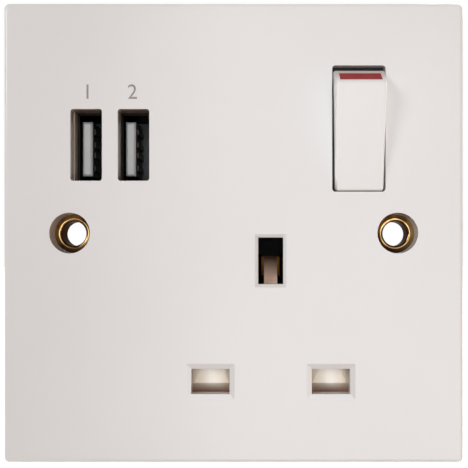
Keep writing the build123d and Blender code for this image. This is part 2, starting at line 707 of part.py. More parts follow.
def shutter_carrier():
    """The inner cover that keeps the shutter in its guides and lets the pins through."""
    outline = panel(CARRIER_LEFT, CARRIER_RIGHT, CARRIER_BOTTOM, CARRIER_TOP)
    for x in (LINE_X, NEUTRAL_X):
        window = Rectangle(LIVE_SLOT_WIDTH + 2 * WINDOW_FIT, LIVE_SLOT_HEIGHT + 2 * WINDOW_FIT)
        outline -= Pos(x, LIVE_Z) * window
    window = Rectangle(EARTH_SLOT_WIDTH + 2 * WINDOW_FIT, EARTH_SLOT_HEIGHT + 2 * WINDOW_FIT)
    outline -= Pos(SOCKET_X, EARTH_Z) * window
    half = RAMP_WIDTH / 2 + SHUTTER_GAP
    way_bottom = RAMP_FOOT - SHUTTER_TRAVEL - SHUTTER_GAP
    outline -= panel(SOCKET_X - half, SOCKET_X + half, way_bottom, EARTH_Z)
    for x, z in CARRIER_POSTS:
        outline -= Pos(x, z) * Circle(CARRIER_PIN / 2 + CARRIER_FIT)
    return slab(outline, Y_CARRIER, Y_RIM)


def pin_shutter():
    """The sliding shutter: two crowned pads with sloped feet, a crossbar, a stem and the earth pin's ramp."""
    pad_front = Y_SHUTTER + PAD_SETBACK
    side = polygon(
        (Y_SHUTTER_REAR, PAD_BOTTOM),
        (Y_SHUTTER_REAR, PAD_TOP),
        (pad_front, PAD_TOP),
        (pad_front + PAD_SLOPE, LIVE_Z - PAD_KNEE_DROP),
        (Y_SHUTTER_REAR - PAD_FOOT_WALL, PAD_BOTTOM),
    )
    pieces = []
    half = PAD_WIDTH / 2
    for x in (LINE_X, NEUTRAL_X):
        crown = ThreePointArc(
            (x - half, pad_front + SHUTTER_CROWN), (x, pad_front), (x + half, pad_front + SHUTTER_CROWN)
        )
        back = Polyline(
            (x + half, pad_front + SHUTTER_CROWN),
            (x + half, Y_SHUTTER_REAR),
            (x - half, Y_SHUTTER_REAR),
            (x - half, pad_front + SHUTTER_CROWN),
        )
        pieces.append(ribbon(side, x, PAD_WIDTH) & column(make_face(crown + back), LIVE_Z, PAD_HEIGHT))
    bar = panel(NEUTRAL_X + half - BAR_LAP, LINE_X - half + BAR_LAP, PAD_BOTTOM, PAD_TOP)
    bar += panel(SOCKET_X - STEM_WIDTH / 2, SOCKET_X + STEM_WIDTH / 2, PAD_BOTTOM, RAMP_FOOT)
    pieces.append(slab(bar, Y_SHUTTER_REAR - STEM_DEPTH, Y_SHUTTER_REAR))
    ramp = polygon(
        (Y_SHUTTER, RAMP_FOOT - STEM_DEPTH),
        (Y_SHUTTER, RAMP_FOOT),
        (Y_SHUTTER + RAMP_DEPTH, RAMP_TOP),
        (Y_SHUTTER + RAMP_DEPTH, RAMP_FOOT),
        (Y_SHUTTER_REAR, RAMP_FOOT),
        (Y_SHUTTER_REAR, RAMP_FOOT - STEM_DEPTH),
    )
    pieces.append(ribbon(ramp, SOCKET_X, RAMP_WIDTH))
    pieces.append(
        Pos(SOCKET_X, SPRING_Y, PAD_BOTTOM)
        * Cylinder(SPRING_PEG / 2, SPRING_PEG_LENGTH, align=(Align.CENTER, Align.CENTER, Align.MAX))
    )
    pieces.append(
        Pos(SOCKET_X, SPRING_Y, PAD_BOTTOM)
        * Box(
            STEM_WIDTH,
            Y_SHUTTER_REAR - Y_SHUTTER - SHUTTER_GAP,
            STEM_DEPTH,
            align=(Align.CENTER, Align.CENTER, Align.MIN),
        )
    )
    return joined(pieces)


def coil(diameter, wire, length, turns):
    """A helical spring standing on the origin along +Z."""
    radius = (diameter - wire) / 2
    rise = length - wire
    path = Helix(pitch=rise / turns, height=rise, radius=radius, center=(0, 0, wire / 2))
    section = Plane(origin=path @ 0, z_dir=path % 0) * RegularPolygon(wire / 2, 6)
    return sweep(section, path=path, is_frenet=True)


def shutter_spring():
    """The spring that closes the shutter."""
    slack = 2 * STOP_GAP
    spring = coil(
        SHUTTER_SPRING_DIAMETER, SHUTTER_SPRING_WIRE, SHUTTER_SPRING_LENGTH - slack, SHUTTER_SPRING_TURNS
    )
    return Pos(SOCKET_X, SPRING_Y, SPRING_SEAT_Z + STOP_GAP) * spring


def rocker_place():
    """The rocker's pivot, turned to the on position."""
    return Pos(SWITCH_X, PIVOT_Y, SWITCH_Z) * Rot(ROCKER_ANGLE, 0, 0)


def rocker_end_points(reach, slope_degrees, wall):
    """One end of the rocker's side view: its front corner, knee and rim, as depth against reach."""
    slope = math.radians(slope_degrees)
    front = -ROCKER_FRONT + wall
    corner = reach + wall * math.tan(slope) - wall / math.cos(slope)
    knee_y = -ROCKER_FRONT + ROCKER_END_LENGTH * math.cos(slope)
    knee = corner + (knee_y - front) * math.tan(slope)
    return [(front, corner), (knee_y, knee), (ROCKER_RIM, knee - ROCKER_SKIRT)]


def rocker_profile(wall):
    """The rocker's side view about its pivot, set in by a wall."""
    head = rocker_end_points(ROCKER_HEAD, ROCKER_HEAD_SLOPE, wall)
    foot = rocker_end_points(ROCKER_FOOT, ROCKER_FOOT_SLOPE, wall)
    return polygon(*head, *[(y, -z) for y, z in reversed(foot)])


def rocker_end():
    """The plane of the rocker's upper end, at the middle of its marker."""
    slope = math.radians(ROCKER_HEAD_SLOPE)
    along = MARKER_SETBACK + MARKER_HEIGHT / 2
    middle = (0, -ROCKER_FRONT + along * math.cos(slope), ROCKER_HEAD + along * math.sin(slope))
    return Plane(origin=middle, x_dir=(1, 0, 0), z_dir=(0, -math.sin(slope), math.cos(slope)))


def marker_inlay():
    """The marker's solid, let into the rocker's upper end."""
    return extrude(rocker_end() * RectangleRounded(MARKER_WIDTH, MARKER_HEIGHT, MARKER_CORNER), -MARKER_THICK)


def switch_rocker():
    """The hollow rocker with its trunnions and the boss that holds the plunger."""
    half = ROCKER_WIDTH / 2
    waist = -ROCKER_FRONT + ROCKER_END_LENGTH
    plan = polygon(
        (-half + ROCKER_DRAFT, -ROCKER_FRONT),
        (half - ROCKER_DRAFT, -ROCKER_FRONT),
        (half, waist),
        (half, ROCKER_RIM),
        (-half, ROCKER_RIM),
        (-half, waist),
    )
    length = 2 * (ROCKER_FOOT + ROCKER_END_LENGTH)
    body = ribbon(rocker_profile(0), 0, ROCKER_WIDTH) & column(plan, 0, length)
    front_edges = body.edges().filter_by_position(Axis.Y, -ROCKER_FRONT - ROCKER_EDGE, waist, (True, False))
    body = fillet(front_edges, ROCKER_EDGE)
    cavity_width = ROCKER_WIDTH - 2 * (ROCKER_WALL + ROCKER_DRAFT)
    body -= ribbon(rocker_profile(ROCKER_WALL), 0, cavity_width)
    bore_front = PLUNGER_BOSS_REAR - PLUNGER_BORE_DEPTH
    boss_diameter = PLUNGER_BORE + 2 * PLUNGER_BOSS_WALL
    body += post(0, 0, boss_diameter, -ROCKER_FRONT + ROCKER_WALL / 2, PLUNGER_BOSS_REAR)
    body -= post(0, 0, PLUNGER_BORE, bore_front, PLUNGER_BOSS_REAR)
    trunnion_end = APERTURE_WIDTH / 2 + EAR_GAP + EAR_WALL
    for side in (-1, 1):
        start = half - ROCKER_WALL / 2
        mid = side * (start + trunnion_end) / 2
        body += ribbon(Circle(TRUNNION / 2), mid, trunnion_end - start)
    return rocker_place() * (body - marker_inlay())


def rocker_marker():
    """The red strip that shows when the switch is on."""
    return rocker_place() * marker_inlay()


def rocker_plunger():
    """The round-nosed plunger that the rocker sweeps over the see-saw."""
    radius = PLUNGER_DIAMETER / 2
    rear = PLUNGER_TIP - radius
    pin = post(0, 0, PLUNGER_DIAMETER, PLUNGER_TIP - PLUNGER_LENGTH, rear)
    return rocker_place() * (pin + Pos(0, rear, 0) * Sphere(radius))


def plunger_spring():
    """The spring behind the plunger, inside the rocker's boss."""
    start = PLUNGER_BOSS_REAR - PLUNGER_BORE_DEPTH + STOP_GAP
    length = PLUNGER_TIP - PLUNGER_LENGTH - STOP_GAP - start
    spring = coil(PLUNGER_DIAMETER, PLUNGER_SPRING_WIRE, length, PLUNGER_SPRING_TURNS)
    return rocker_place() * Pos(0, start, 0) * Rot(-90, 0, 0) * spring


def port_shell(x):
    """The folded steel shell of one port."""
    outline = Rectangle(SHELL_WIDTH, SHELL_HEIGHT)
    outline -= Rectangle(SHELL_WIDTH - 2 * SHELL_WALL, SHELL_HEIGHT - 2 * SHELL_WALL)
    return slab(Pos(x, WINDOW_Z) * outline, Y_SHELL, Y_BOARD)


def tongue_side(x):
    """The tongue's face that carries the contacts."""
    return x - TONGUE_OFFSET + TONGUE_THICK / 2


def port_insulator(x):
    """The moulded base of one port with the tongue that stands in its mouth."""
    inner_w = SHELL_WIDTH - 2 * (SHELL_WALL + PORT_FIT)
    inner_h = SHELL_HEIGHT - 2 * (SHELL_WALL + PORT_FIT)
    base = slab(Pos(x, WINDOW_Z) * Rectangle(inner_w, inner_h), Y_BOARD - PORT_BASE_DEPTH, Y_BOARD)
    outline = Pos(x - TONGUE_OFFSET, WINDOW_Z) * Rectangle(TONGUE_THICK, TONGUE_HEIGHT)
    tongue = slab(outline, Y_TONGUE, Y_BOARD - PORT_BASE_DEPTH)
    tongue = chamfer(tongue.faces().sort_by(Axis.Y)[0].edges(), TONGUE_EDGE)
    return base + tongue


def port_contacts(x):
    """The four contacts of one port, lying on its tongue."""
    side = tongue_side(x)
    front = Y_TONGUE + PIN_STRIP_SETBACK
    rear = Y_BOARD - PORT_BASE_DEPTH
    contacts = []
    for offset in PIN_OFFSETS:
        middle = Pos(side + PIN_STRIP_THICK / 2, WINDOW_Z + offset)
        contacts.append(slab(middle * Rectangle(PIN_STRIP_THICK, PIN_STRIP_WIDTH), front, rear))
    return Compound(children=contacts)


def usb_board():
    """The charger's board, stepped round the wall box's lug, with holes for the housing's pins."""
    outline = panel(BOARD_LEFT, BOARD_RIGHT, BOARD_STEP_Z, BOARD_TOP)
    outline += panel(BOARD_STEP_X, BOARD_RIGHT, BOARD_BOTTOM, BOARD_TOP)
    for x, z in BOARD_POSTS:
        outline -= Pos(x, z) * Circle(BOARD_PIN / 2 + BOARD_FIT)
    return slab(outline, Y_BOARD, Y_BOARD_REAR)


def transformer_core():
    """The ferrite core: two outer legs and a centre leg between yokes."""
    outline = Rectangle(CORE_WIDTH, CORE_DEPTH)
    outer_leg = CORE_LEG / 2
    window = (CORE_WIDTH - CORE_LEG - 2 * outer_leg) / 2
    for side in (-1, 1):
        middle = side * (CORE_LEG + window) / 2
        outline -= Pos(middle, 0) * Rectangle(window, CORE_DEPTH - 2 * CORE_YOKE)
    return column(Pos(TRANSFORMER_X, Y_BOARD_REAR + CORE_DEPTH / 2) * outline, TRANSFORMER_Z, CORE_THICK)


def transformer_winding():
    """The taped winding round the core's centre leg."""
    inner_w = CORE_LEG + 2 * COIL_FIT
    inner_h = CORE_THICK + 2 * COIL_FIT
    outline = RectangleRounded(inner_w + 2 * COIL_BUILD, inner_h + 2 * COIL_BUILD, COIL_BUILD / 2)
    outline -= Rectangle(inner_w, inner_h)
    front = Y_BOARD_REAR + CORE_YOKE + COIL_FIT
    rear = Y_BOARD_REAR + CORE_DEPTH - CORE_YOKE - COIL_FIT
    return slab(Pos(TRANSFORMER_X, TRANSFORMER_Z) * outline, front, rear)


def cans(places, diameter, length):
    """Round capacitors standing on the rear of the board."""
    pieces = []
    for x, z in places:
        can = post(x, z, diameter, Y_BOARD_REAR, Y_BOARD_REAR + length)
        pieces.append(chamfer(can.faces().sort_by(Axis.Y)[-1].edges(), CAN_EDGE))
    return Compound(children=pieces)


def board_block(place, size):
    """A flat component on the front of the board."""
    width, height, rise = size
    return slab(Pos(*place) * Rectangle(width, height), Y_BOARD - rise, Y_BOARD)


def board_fuse():
    """The fuse, lying along the front of the board."""
    x, z = FUSE_PLACE
    return Pos(x, Y_BOARD - FUSE_DIAMETER / 2, z) * Rot(0, 90, 0) * Cylinder(FUSE_DIAMETER / 2, FUSE_LENGTH)


def lead(*points):
    """An insulated lead along straight runs joined by arcs."""
    path = FilletPolyline(*points, radius=LEAD_BEND)
    section = Plane(origin=path @ 0, z_dir=path % 0) * Circle(LEAD_DIAMETER / 2)
    return sweep(section, path=path)


def line_lead():
    """The lead from the line terminal to the board."""
    x, z = LINE_LEAD_START
    return lead((x, Y_BOARD_REAR, z), (x, LEAD_Y, z), (LINE_TERMINAL_X - TERMINAL_SIZE / 2, LEAD_Y, z))


def neutral_lead():
    """The lead from the neutral terminal to the board."""
    x, z = NEUTRAL_LEAD_START
    return lead(
        (x, Y_BOARD_REAR, z),
        (x, LEAD_Y, z),
        (x, LEAD_Y, NEUTRAL_TERMINAL_Z),
        (SIDE_TERMINAL_X + TERMINAL_SIZE / 2, LEAD_Y, NEUTRAL_TERMINAL_Z),
    )


def housing_outline(inset):
    """The housing's front view, with side notches that clear the wall box's lugs."""
    outline = RectangleRounded(HOUSING_WIDTH - 2 * inset, HOUSING_HEIGHT - 2 * inset, HOUSING_CORNER - inset)
    edge = HOUSING_WIDTH / 2
    for side in (-1, 1):
        ends = sorted((side * (LUG_NOTCH_X - inset), side * edge))
        outline -= panel(ends[0], ends[1], -LUG_NOTCH_HALF - inset, LUG_NOTCH_HALF + inset)
    return outline


def housing_walls():
    """Partitions, rests and posts inside the housing, as pieces that stand on its rear wall."""
    inner_bottom = -HOUSING_HEIGHT / 2 + HOUSING_WALL
    inner_left = -LUG_NOTCH_X + HOUSING_WALL
    fence_x = (SOCKET_X + LINE_X) / 2
    fence_z = (EARTH_Z + LIVE_Z) / 2
    roof_z = EARTH_RUN_Z + STRIP_WIDTH + PARTITION
    walls = panel(fence_x - PARTITION / 2, fence_x + PARTITION / 2, inner_bottom, roof_z)
    walls += panel(
        NEUTRAL_X - PARTITION, fence_x, fence_z - PARTITION / 2, fence_z + PARTITION / 2
    )
    pieces = [slab(walls, Y_RIM, Y_INNER)]
    roof = slab(panel(inner_left, fence_x, roof_z - PARTITION, roof_z), Y_BOARD, Y_INNER)
    lead_x = NEUTRAL_LEAD_START[0]
    lead_half = LEAD_DIAMETER / 2 + LEAD_FIT
    way = panel(lead_x - lead_half, lead_x + lead_half, roof_z - PARTITION, roof_z)
    pieces.append(roof - slab(way, Y_BOARD, LEAD_Y + lead_half))
    rests = [(LINE_X, LIVE_Z), (NEUTRAL_X, LIVE_Z), (SOCKET_X, EARTH_Z)]
    rests += [(LINE_X, EARTH_Z), (LINE_X, FEED_RUN_Z)]
    for x, z in rests:
        pieces.append(slab(Pos(x, z) * Rectangle(PAD_SIZE, STRIP_WIDTH), Y_STRIP_REAR, Y_INNER))
    pieces.append(slab(Pos(SWITCH_X, SWITCH_Z) * Rectangle(PAD_SIZE, SHEET), Y_STRIP_REAR, Y_INNER))
    stop = Pos(SWITCH_X, SWITCH_Z - STOP_Z) * Rectangle(STOP_POST_WIDTH, STOP_POST_HEIGHT)
    pieces.append(slab(stop, FULCRUM_Y + STOP_Y + STOP_GAP, Y_INNER))
    for x, z in BOARD_POSTS:
        pieces.append(post(x, z, BOARD_POST, Y_BOARD_REAR, Y_INNER))
        pieces.append(post(x, z, BOARD_PIN, Y_BOARD - BOARD_PIN_RISE, Y_BOARD_REAR))
    for x, z in TERMINAL_PLACES.values():
        offset = TERMINAL_SIZE / 2 + TERMINAL_FIT + TERMINAL_RIB / 2
        for side in (-1, 1):
            rib = Pos(x + side * offset, z) * Rectangle(TERMINAL_RIB, TERMINAL_SIZE)
            pieces.append(slab(rib, Y_INNER - TERMINAL_RIB_HEIGHT, Y_INNER))
    return pieces


SIDE_ENTRY_Z = (NEUTRAL_TERMINAL_Z + EARTH_TERMINAL_Z) / 2
LINE_ENTRY_Z = LINE_TERMINAL_Z - TERMINAL_SIZE / 2 - WIRE_ENTRY_HEIGHT / 2 - TERMINAL_FIT


def wire_entries():
    """The openings in the rear wall where the house wires reach the terminals."""
    entries = Pos(SIDE_TERMINAL_X, SIDE_ENTRY_Z) * Rectangle(TERMINAL_SIZE, WIRE_ENTRY_HEIGHT)
    entries += Pos(LINE_TERMINAL_X, LINE_ENTRY_Z) * Rectangle(TERMINAL_SIZE, WIRE_ENTRY_HEIGHT)
    return slab(entries, Y_INNER, Y_REAR)


def terminal_shroud(x, bottom, top):
    """A raised area of the rear wall that holds a wire entry and the screws beside it."""
    width = TERMINAL_SIZE + 2 * SHROUD_MARGIN
    outline = Pos(x, (bottom + top) / 2) * RectangleRounded(width, top - bottom, SHROUD_CORNER)
    shroud = slab(outline, Y_INNER, Y_REAR)
    return chamfer(shroud.faces().sort_by(Axis.Y)[-1].edges(), SHROUD_EDGE)


def rear_housing():
    """The dark rear moulding: an open box with partitions, screw columns and terminal access."""
    body = slab(housing_outline(0), Y_RIM, HOUSING_DEPTH)
    body = fillet(body.faces().sort_by(Axis.Y)[-1].edges(), HOUSING_EDGE)
    body -= slab(housing_outline(HOUSING_WALL), Y_RIM, Y_INNER)
    columns = [post(x, z, SCREW_COLUMN, Y_RIM, Y_INNER) for x, z in SCREW_PLACES]
    reach = TERMINAL_HEAD / 2 + ACCESS_FIT + SHROUD_MARGIN
    entry_bottom = LINE_ENTRY_Z - WIRE_ENTRY_HEIGHT / 2 - SHROUD_MARGIN
    shrouds = [
        terminal_shroud(LINE_TERMINAL_X, entry_bottom, LINE_TERMINAL_Z + reach),
        terminal_shroud(SIDE_TERMINAL_X, NEUTRAL_TERMINAL_Z - reach, EARTH_TERMINAL_Z + reach),
    ]
    body = joined([body] + columns + shrouds + housing_walls())
    for x, z in SCREW_PLACES:
        body -= post(x, z, SCREW_CLEARANCE_HOLE, Y_RIM, SCREW_SEAT_Y)
        body -= post(x, z, SCREW_COUNTERBORE, SCREW_SEAT_Y, HOUSING_DEPTH)
    for x, z in TERMINAL_PLACES.values():
        body -= post(x, z, TERMINAL_HEAD + 2 * ACCESS_FIT, Y_INNER, Y_REAR)
    return body - wire_entries()


def housing_screws():
    """The four screws that hold the housing to the plate's bosses."""
    screws = []
    for x, z in SCREW_PLACES:
        head_top = SCREW_SEAT_Y + SCREW_HEAD_HEIGHT
        screw = post(x, z, SCREW_SHANK, SCREW_SEAT_Y - SCREW_LENGTH, SCREW_SEAT_Y)
        screw += post(x, z, SCREW_HEAD, SCREW_SEAT_Y, head_top)
        screws.append(screw - driver_slot(x, z, SCREW_HEAD, head_top, head_top - DRIVER_SLOT_DEPTH))
    return Compound(children=screws)


def build():
    """Every piece of the socket by name."""
    pieces = {
        "face_plate": face_plate(),
        "earth_strap": earth_strap(),
        "line_contact": line_contact(),
        "neutral_contact": neutral_contact(),
        "earth_contact": earth_contact(),
        "line_feed": line_feed(),
        "fixed_contact_tip": fixed_contact_tip(),
        "moving_contact": moving_contact(),
        "moving_contact_tip": moving_contact_tip(),
        "terminal_screws": terminal_screws(),
        "shutter_carrier": shutter_carrier(),
        "pin_shutter": pin_shutter(),
        "shutter_spring": shutter_spring(),
        "switch_rocker": switch_rocker(),
        "rocker_marker": rocker_marker(),
        "rocker_plunger": rocker_plunger(),
        "plunger_spring": plunger_spring(),
        "usb_board": usb_board(),
        "transformer_core": transformer_core(),
        "transformer_winding": transformer_winding(),
        "bulk_capacitors": cans(BULK_PLACES, BULK_DIAMETER, BULK_LENGTH),
        "output_capacitors": cans(OUTPUT_PLACES, OUTPUT_DIAMETER, OUTPUT_LENGTH),
        "controller_chip": board_block(CHIP_PLACE, CHIP_SIZE),
        "bridge_rectifier": board_block(BRIDGE_PLACE, BRIDGE_SIZE),
        "board_fuse": board_fuse(),
        "line_lead": line_lead(),
        "neutral_lead": neutral_lead(),
        "rear_housing": rear_housing(),
        "housing_screws": housing_screws(),
    }
    for side, x in EYELET_PLACES.items():
        pieces["eyelet_" + side] = eyelet(x)
    for name, (x, z) in TERMINAL_PLACES.items():
        pieces[name + "_terminal"] = terminal(x, z)
    for side, x in PORT_PLACES.items():
        pieces["port_shell_" + side] = port_shell(x)
        pieces["port_insulator_" + side] = port_insulator(x)
        pieces["port_contacts_" + side] = port_contacts(x)
    return pieces


os.makedirs("parts", exist_ok=True)
for node, solid in build().items():
    export_step(solid, "parts/" + node + ".step")
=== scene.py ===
import json
import logging
import math
from dataclasses import dataclass, replace
from enum import Enum, IntEnum
from typing import Protocol

import bmesh
import bpy
from mathutils import Matrix, Vector


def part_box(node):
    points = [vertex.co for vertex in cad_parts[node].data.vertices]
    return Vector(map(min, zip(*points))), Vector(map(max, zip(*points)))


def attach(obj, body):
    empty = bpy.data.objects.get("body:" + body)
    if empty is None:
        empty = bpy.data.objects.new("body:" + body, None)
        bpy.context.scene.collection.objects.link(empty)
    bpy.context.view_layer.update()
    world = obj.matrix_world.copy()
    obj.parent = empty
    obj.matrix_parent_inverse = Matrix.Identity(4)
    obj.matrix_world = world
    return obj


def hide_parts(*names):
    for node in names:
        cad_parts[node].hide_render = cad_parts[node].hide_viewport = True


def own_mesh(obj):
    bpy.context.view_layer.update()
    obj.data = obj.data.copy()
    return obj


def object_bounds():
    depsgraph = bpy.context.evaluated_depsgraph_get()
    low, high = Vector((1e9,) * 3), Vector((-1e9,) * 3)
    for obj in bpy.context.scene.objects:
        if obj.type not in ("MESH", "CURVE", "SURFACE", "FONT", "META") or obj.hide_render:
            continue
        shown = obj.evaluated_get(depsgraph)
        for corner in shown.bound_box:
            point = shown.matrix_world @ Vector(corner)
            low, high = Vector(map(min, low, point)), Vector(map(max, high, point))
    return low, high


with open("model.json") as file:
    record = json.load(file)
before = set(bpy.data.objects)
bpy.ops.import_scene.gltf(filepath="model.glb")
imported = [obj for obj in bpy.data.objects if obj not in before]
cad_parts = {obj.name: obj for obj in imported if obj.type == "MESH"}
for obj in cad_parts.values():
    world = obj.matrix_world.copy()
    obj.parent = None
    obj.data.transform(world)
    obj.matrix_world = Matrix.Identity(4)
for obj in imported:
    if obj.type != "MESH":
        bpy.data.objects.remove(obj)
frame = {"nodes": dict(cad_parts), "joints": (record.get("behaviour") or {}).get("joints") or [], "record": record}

# The frame is in metres, and the sizes below are in millimetres.
MM = 0.001
CAD_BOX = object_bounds()
LOG = logging.getLogger("wall_socket")

Colour = tuple[float, float, float]
Span = tuple[float, float]
Point = tuple[float, float, float]
Box = tuple[Vector, Vector]
Socket = bpy.types.NodeSocket

# Most values of a noise pattern lie in this span.
NOISE_SPAN = (0.3, 0.7)
# How many finer layers a noise pattern has.
FEW_LAYERS = 2.0
SOME_LAYERS = 3.0
MANY_LAYERS = 4.0
# The width of a band in a wave pattern of scale 1.
WAVE_BAND = 0.314
# A capital letter's share of its font's size.
CAPITAL_SHARE = 0.7
# Corners closer than this are one corner, in millimetres.
SAME_PLACE = 0.0001


class Axis(IntEnum):
    """The object's axes: X to its right, Y to its rear and Z up."""

    X = 0
    Y = 1
    Z = 2


class Face(Enum):
    """The side that a flat mark lies on, as the turns about X and Z that face it outwards."""

    FRONT = (90.0, 0.0)
    REAR = (90.0, 180.0)


class Side(Enum):
    """One of two pieces, as seen from the front."""

    LEFT = "left"
    RIGHT = "right"


class NodeSteps:
    """A node tree, with the steps that finishes, repeated shapes and the room share."""

    def __init__(self, tree: bpy.types.NodeTree) -> None:
        """Take over the tree that the steps are added to."""
        self.nodes = tree.nodes
        self.links = tree.links

    def feed(self, socket: Socket, value: object) -> None:
        """Give an input another node's output, or a plain value.

        Args:
            socket: the input.
            value: the output or the value.
        """
        if isinstance(value, Socket):
            self.links.new(value, socket)
        else:
            socket.default_value = value

    def fill(self, node: bpy.types.Node, **inputs: object) -> None:
        """Feed a node's inputs, with spaces in their names written as underscores."""
        for label, value in inputs.items():
            self.feed(node.inputs[label.replace("_", " ")], value)

    def step(self, kind: str, **inputs: object) -> Socket:
        """Add a node.

        Args:
            kind: the node's kind.
            inputs: what its inputs are fed, as in fill.
        Returns:
            The node's first output.
        """
        node = self.nodes.new(kind)
        self.fill(node, **inputs)
        return node.outputs[0]

    def parts(self, vector: Socket) -> list[Socket]:
        """Take a vector apart.

        Args:
            vector: the vector's socket.
        Returns:
            Its X, Y and Z.
        """
        node = self.nodes.new("ShaderNodeSeparateXYZ")
        self.fill(node, Vector=vector)
        return list(node.outputs)

    def remap(self, value: Socket, source: Span, target: Span = (0.0, 1.0)) -> Socket:
        """Map one range of values, with its ends in either order, to another."""
        return self.step("ShaderNodeMapRange", Value=value, From_Min=source[0], From_Max=source[1],
                         To_Min=target[0], To_Max=target[1])

    def compute(self, operation: str, *values: object) -> Socket:
        """Add one step of arithmetic.

        Args:
            operation: the step, as the node names it.
            values: the sockets and numbers that it takes.
        Returns:
            The result's socket.
        """
        node = self.nodes.new("ShaderNodeMath")
        node.operation = operation
        for socket, value in zip(node.inputs, values):
            self.feed(socket, value)
        return node.outputs["Value"]


class ShaderTree(NodeSteps):
    """One material's tree: a Principled shader, and patterns on object coordinates for it."""

    def __init__(self, name: str) -> None:
        """Start a material.

        Args:
            name: the material's name.
        """
        self.material = bpy.data.materials.new(name)
        self.material.use_nodes = True
        super().__init__(self.material.node_tree)
        self.nodes.clear()
        self.shader = self.nodes.new("ShaderNodeBsdfPrincipled")
        output = self.nodes.new("ShaderNodeOutputMaterial")
        self.fill(output, Surface=self.shader.outputs["BSDF"])
        self.coordinates = self.nodes.new("ShaderNodeTexCoord").outputs["Object"]

    def set(self, **inputs: object) -> None:
        """Feed the shader's own inputs."""
        self.fill(self.shader, **inputs)

    def axes(self) -> list[Socket]:
        """The object coordinates taken apart, as X, Y and Z."""
        return self.parts(self.coordinates)

    def noise(self, size: float, layers: float, stretch: Point = (1.0, 1.0, 1.0)) -> Socket:
        """Add a noise pattern.

        Args:
            size: the size of a patch in millimetres.
            layers: how many finer layers the noise has.
            stretch: how much longer a patch is along each axis.
        Returns:
            The socket with the noise value.
        """
        stretched = self.step("ShaderNodeMapping", Vector=self.coordinates,
                              Scale=[1.0 / share for share in stretch])
        return self.step("ShaderNodeTexNoise", Vector=stretched, Scale=1.0 / (size * MM),
                         Detail=layers)

    def bands(self, size: float, axis: Axis) -> Socket:
        """Add even bands across one axis.

        Args:
            size: the width of one band in millimetres.
            axis: the axis that the bands follow each other along.
        Returns:
            The socket with the band value.
        """
        pattern = self.nodes.new("ShaderNodeTexWave")
        pattern.bands_direction = axis.name
        self.fill(pattern, Vector=self.coordinates, Scale=WAVE_BAND / (size * MM))
        return pattern.outputs["Fac"]

    def fade(self, distance: Socket, span: Span, target: Span = (0.0, 1.0)) -> Socket:
        """Map a span of places or distances, with its ends in millimetres and in either order."""
        return self.remap(distance, (span[0] * MM, span[1] * MM), target)

    def within(self, axis: Axis, span: Span) -> Socket:
        """Make a mask that is 1 between two places along an axis and 0 outside them.

        Args:
            axis: the axis.
            span: the two places in millimetres.
        Returns:
            The mask's socket.
        """
        middle = (span[0] + span[1]) / 2
        reach = abs(span[1] - span[0]) / 2
        return self.compute("COMPARE", self.axes()[axis], middle * MM, reach * MM)

    def apart(self, place: Socket, middle: float) -> Socket:
        """Measure how far a place is, to either side, from a middle in millimetres."""
        return self.compute("ABSOLUTE", self.compute("SUBTRACT", place, middle * MM))

    def from_bores(self, middle: float) -> Socket:
        """Measure how far a place is from the axes of two bores along Y, one at each side.

        Args:
            middle: each axis's distance from the object's middle, in millimetres.
        Returns:
            The distance's socket.
        """
        sides, _, height = self.axes()
        across = self.compute("SUBTRACT", self.compute("ABSOLUTE", sides), middle * MM)
        length = self.nodes.new("ShaderNodeVectorMath")
        length.operation = "LENGTH"
        self.fill(length, Vector=self.step("ShaderNodeCombineXYZ", X=across, Z=height))
        return length.outputs["Value"]

    def mix(self, factor: Socket, first: object, second: object) -> Socket:
        """Mix two colours, each of them a socket or a plain colour.

        Args:
            factor: the socket that chooses between them.
            first: the colour at 0.
            second: the colour at 1.
        Returns:
            The mixed colour's socket.
        """
        node = self.nodes.new("ShaderNodeMix")
        node.data_type = "RGBA"
        self.fill(node, Factor=factor)
        for label, colour in (("A", first), ("B", second)):
            socket = next(s for s in node.inputs if s.name == label and s.type == "RGBA")
            self.feed(socket, (*colour, 1.0) if isinstance(colour, tuple) else colour)
        return next(s for s in node.outputs if s.type == "RGBA")

    def relief(self, height: Socket, depth: float) -> None:
        """Give the shader a fine relief, from a pattern and a depth in millimetres."""
        bump = self.step("ShaderNodeBump", Height=height, Strength=1.0, Distance=depth * MM)
        self.set(Normal=bump)


def darker(colour: Colour, share: float) -> Colour:
    """A colour at a share of its strength."""
    return tuple(share * part for part in colour)


@dataclass(frozen=True)
class Stain:
    """A painted highlight or painted shade over a finish, from none at a span's first end to full at its second
    end.

    It keeps to a stretch of X and of Z where it has one.
    """

    tone: Colour
    span: Span
    axis: Axis = Axis.Y
    sides: Span | None = None
    heights: Span | None = None

    def distance(self, tree: ShaderTree) -> Socket:
        """What the span is measured along: the place on the stain's axis."""
        return tree.axes()[self.axis]

    def lay(self, tree: ShaderTree, colour: Socket) -> Socket:
        """Lay the painted highlight or painted shade over a colour.

        Args:
            tree: the material's tree.
            colour: the colour below the painted light.
        Returns:
            The painted colour's socket.
        """
        share = tree.fade(self.distance(tree), self.span)
        for axis, span in ((Axis.X, self.sides), (Axis.Z, self.heights)):
            if span:
                share = tree.compute("MULTIPLY", share, tree.within(axis, span))
        return tree.mix(share, colour, self.tone)


@dataclass(frozen=True)
class EdgeStain(Stain):
    """Painted light that grows to both sides of a middle."""

    middle: float = 0.0

    def distance(self, tree: ShaderTree) -> Socket:
        """What the span is measured along: the distance from the middle."""
        return tree.apart(tree.axes()[Axis.X], self.middle)


@dataclass(frozen=True)
class BoreStain(Stain):
    """Painted shade in two bores along Y, one at each side of the object."""

    middle: float = 0.0

    def distance(self, tree: ShaderTree) -> Socket:
        """What the span is measured along: the distance from the bores' axes."""
        return tree.from_bores(self.middle)


class Finish(Protocol):
    """What every finish has."""

    @property
    def name(self) -> str:
        """The material's name."""

    def material(self) -> bpy.types.Material:
        """Make the material."""


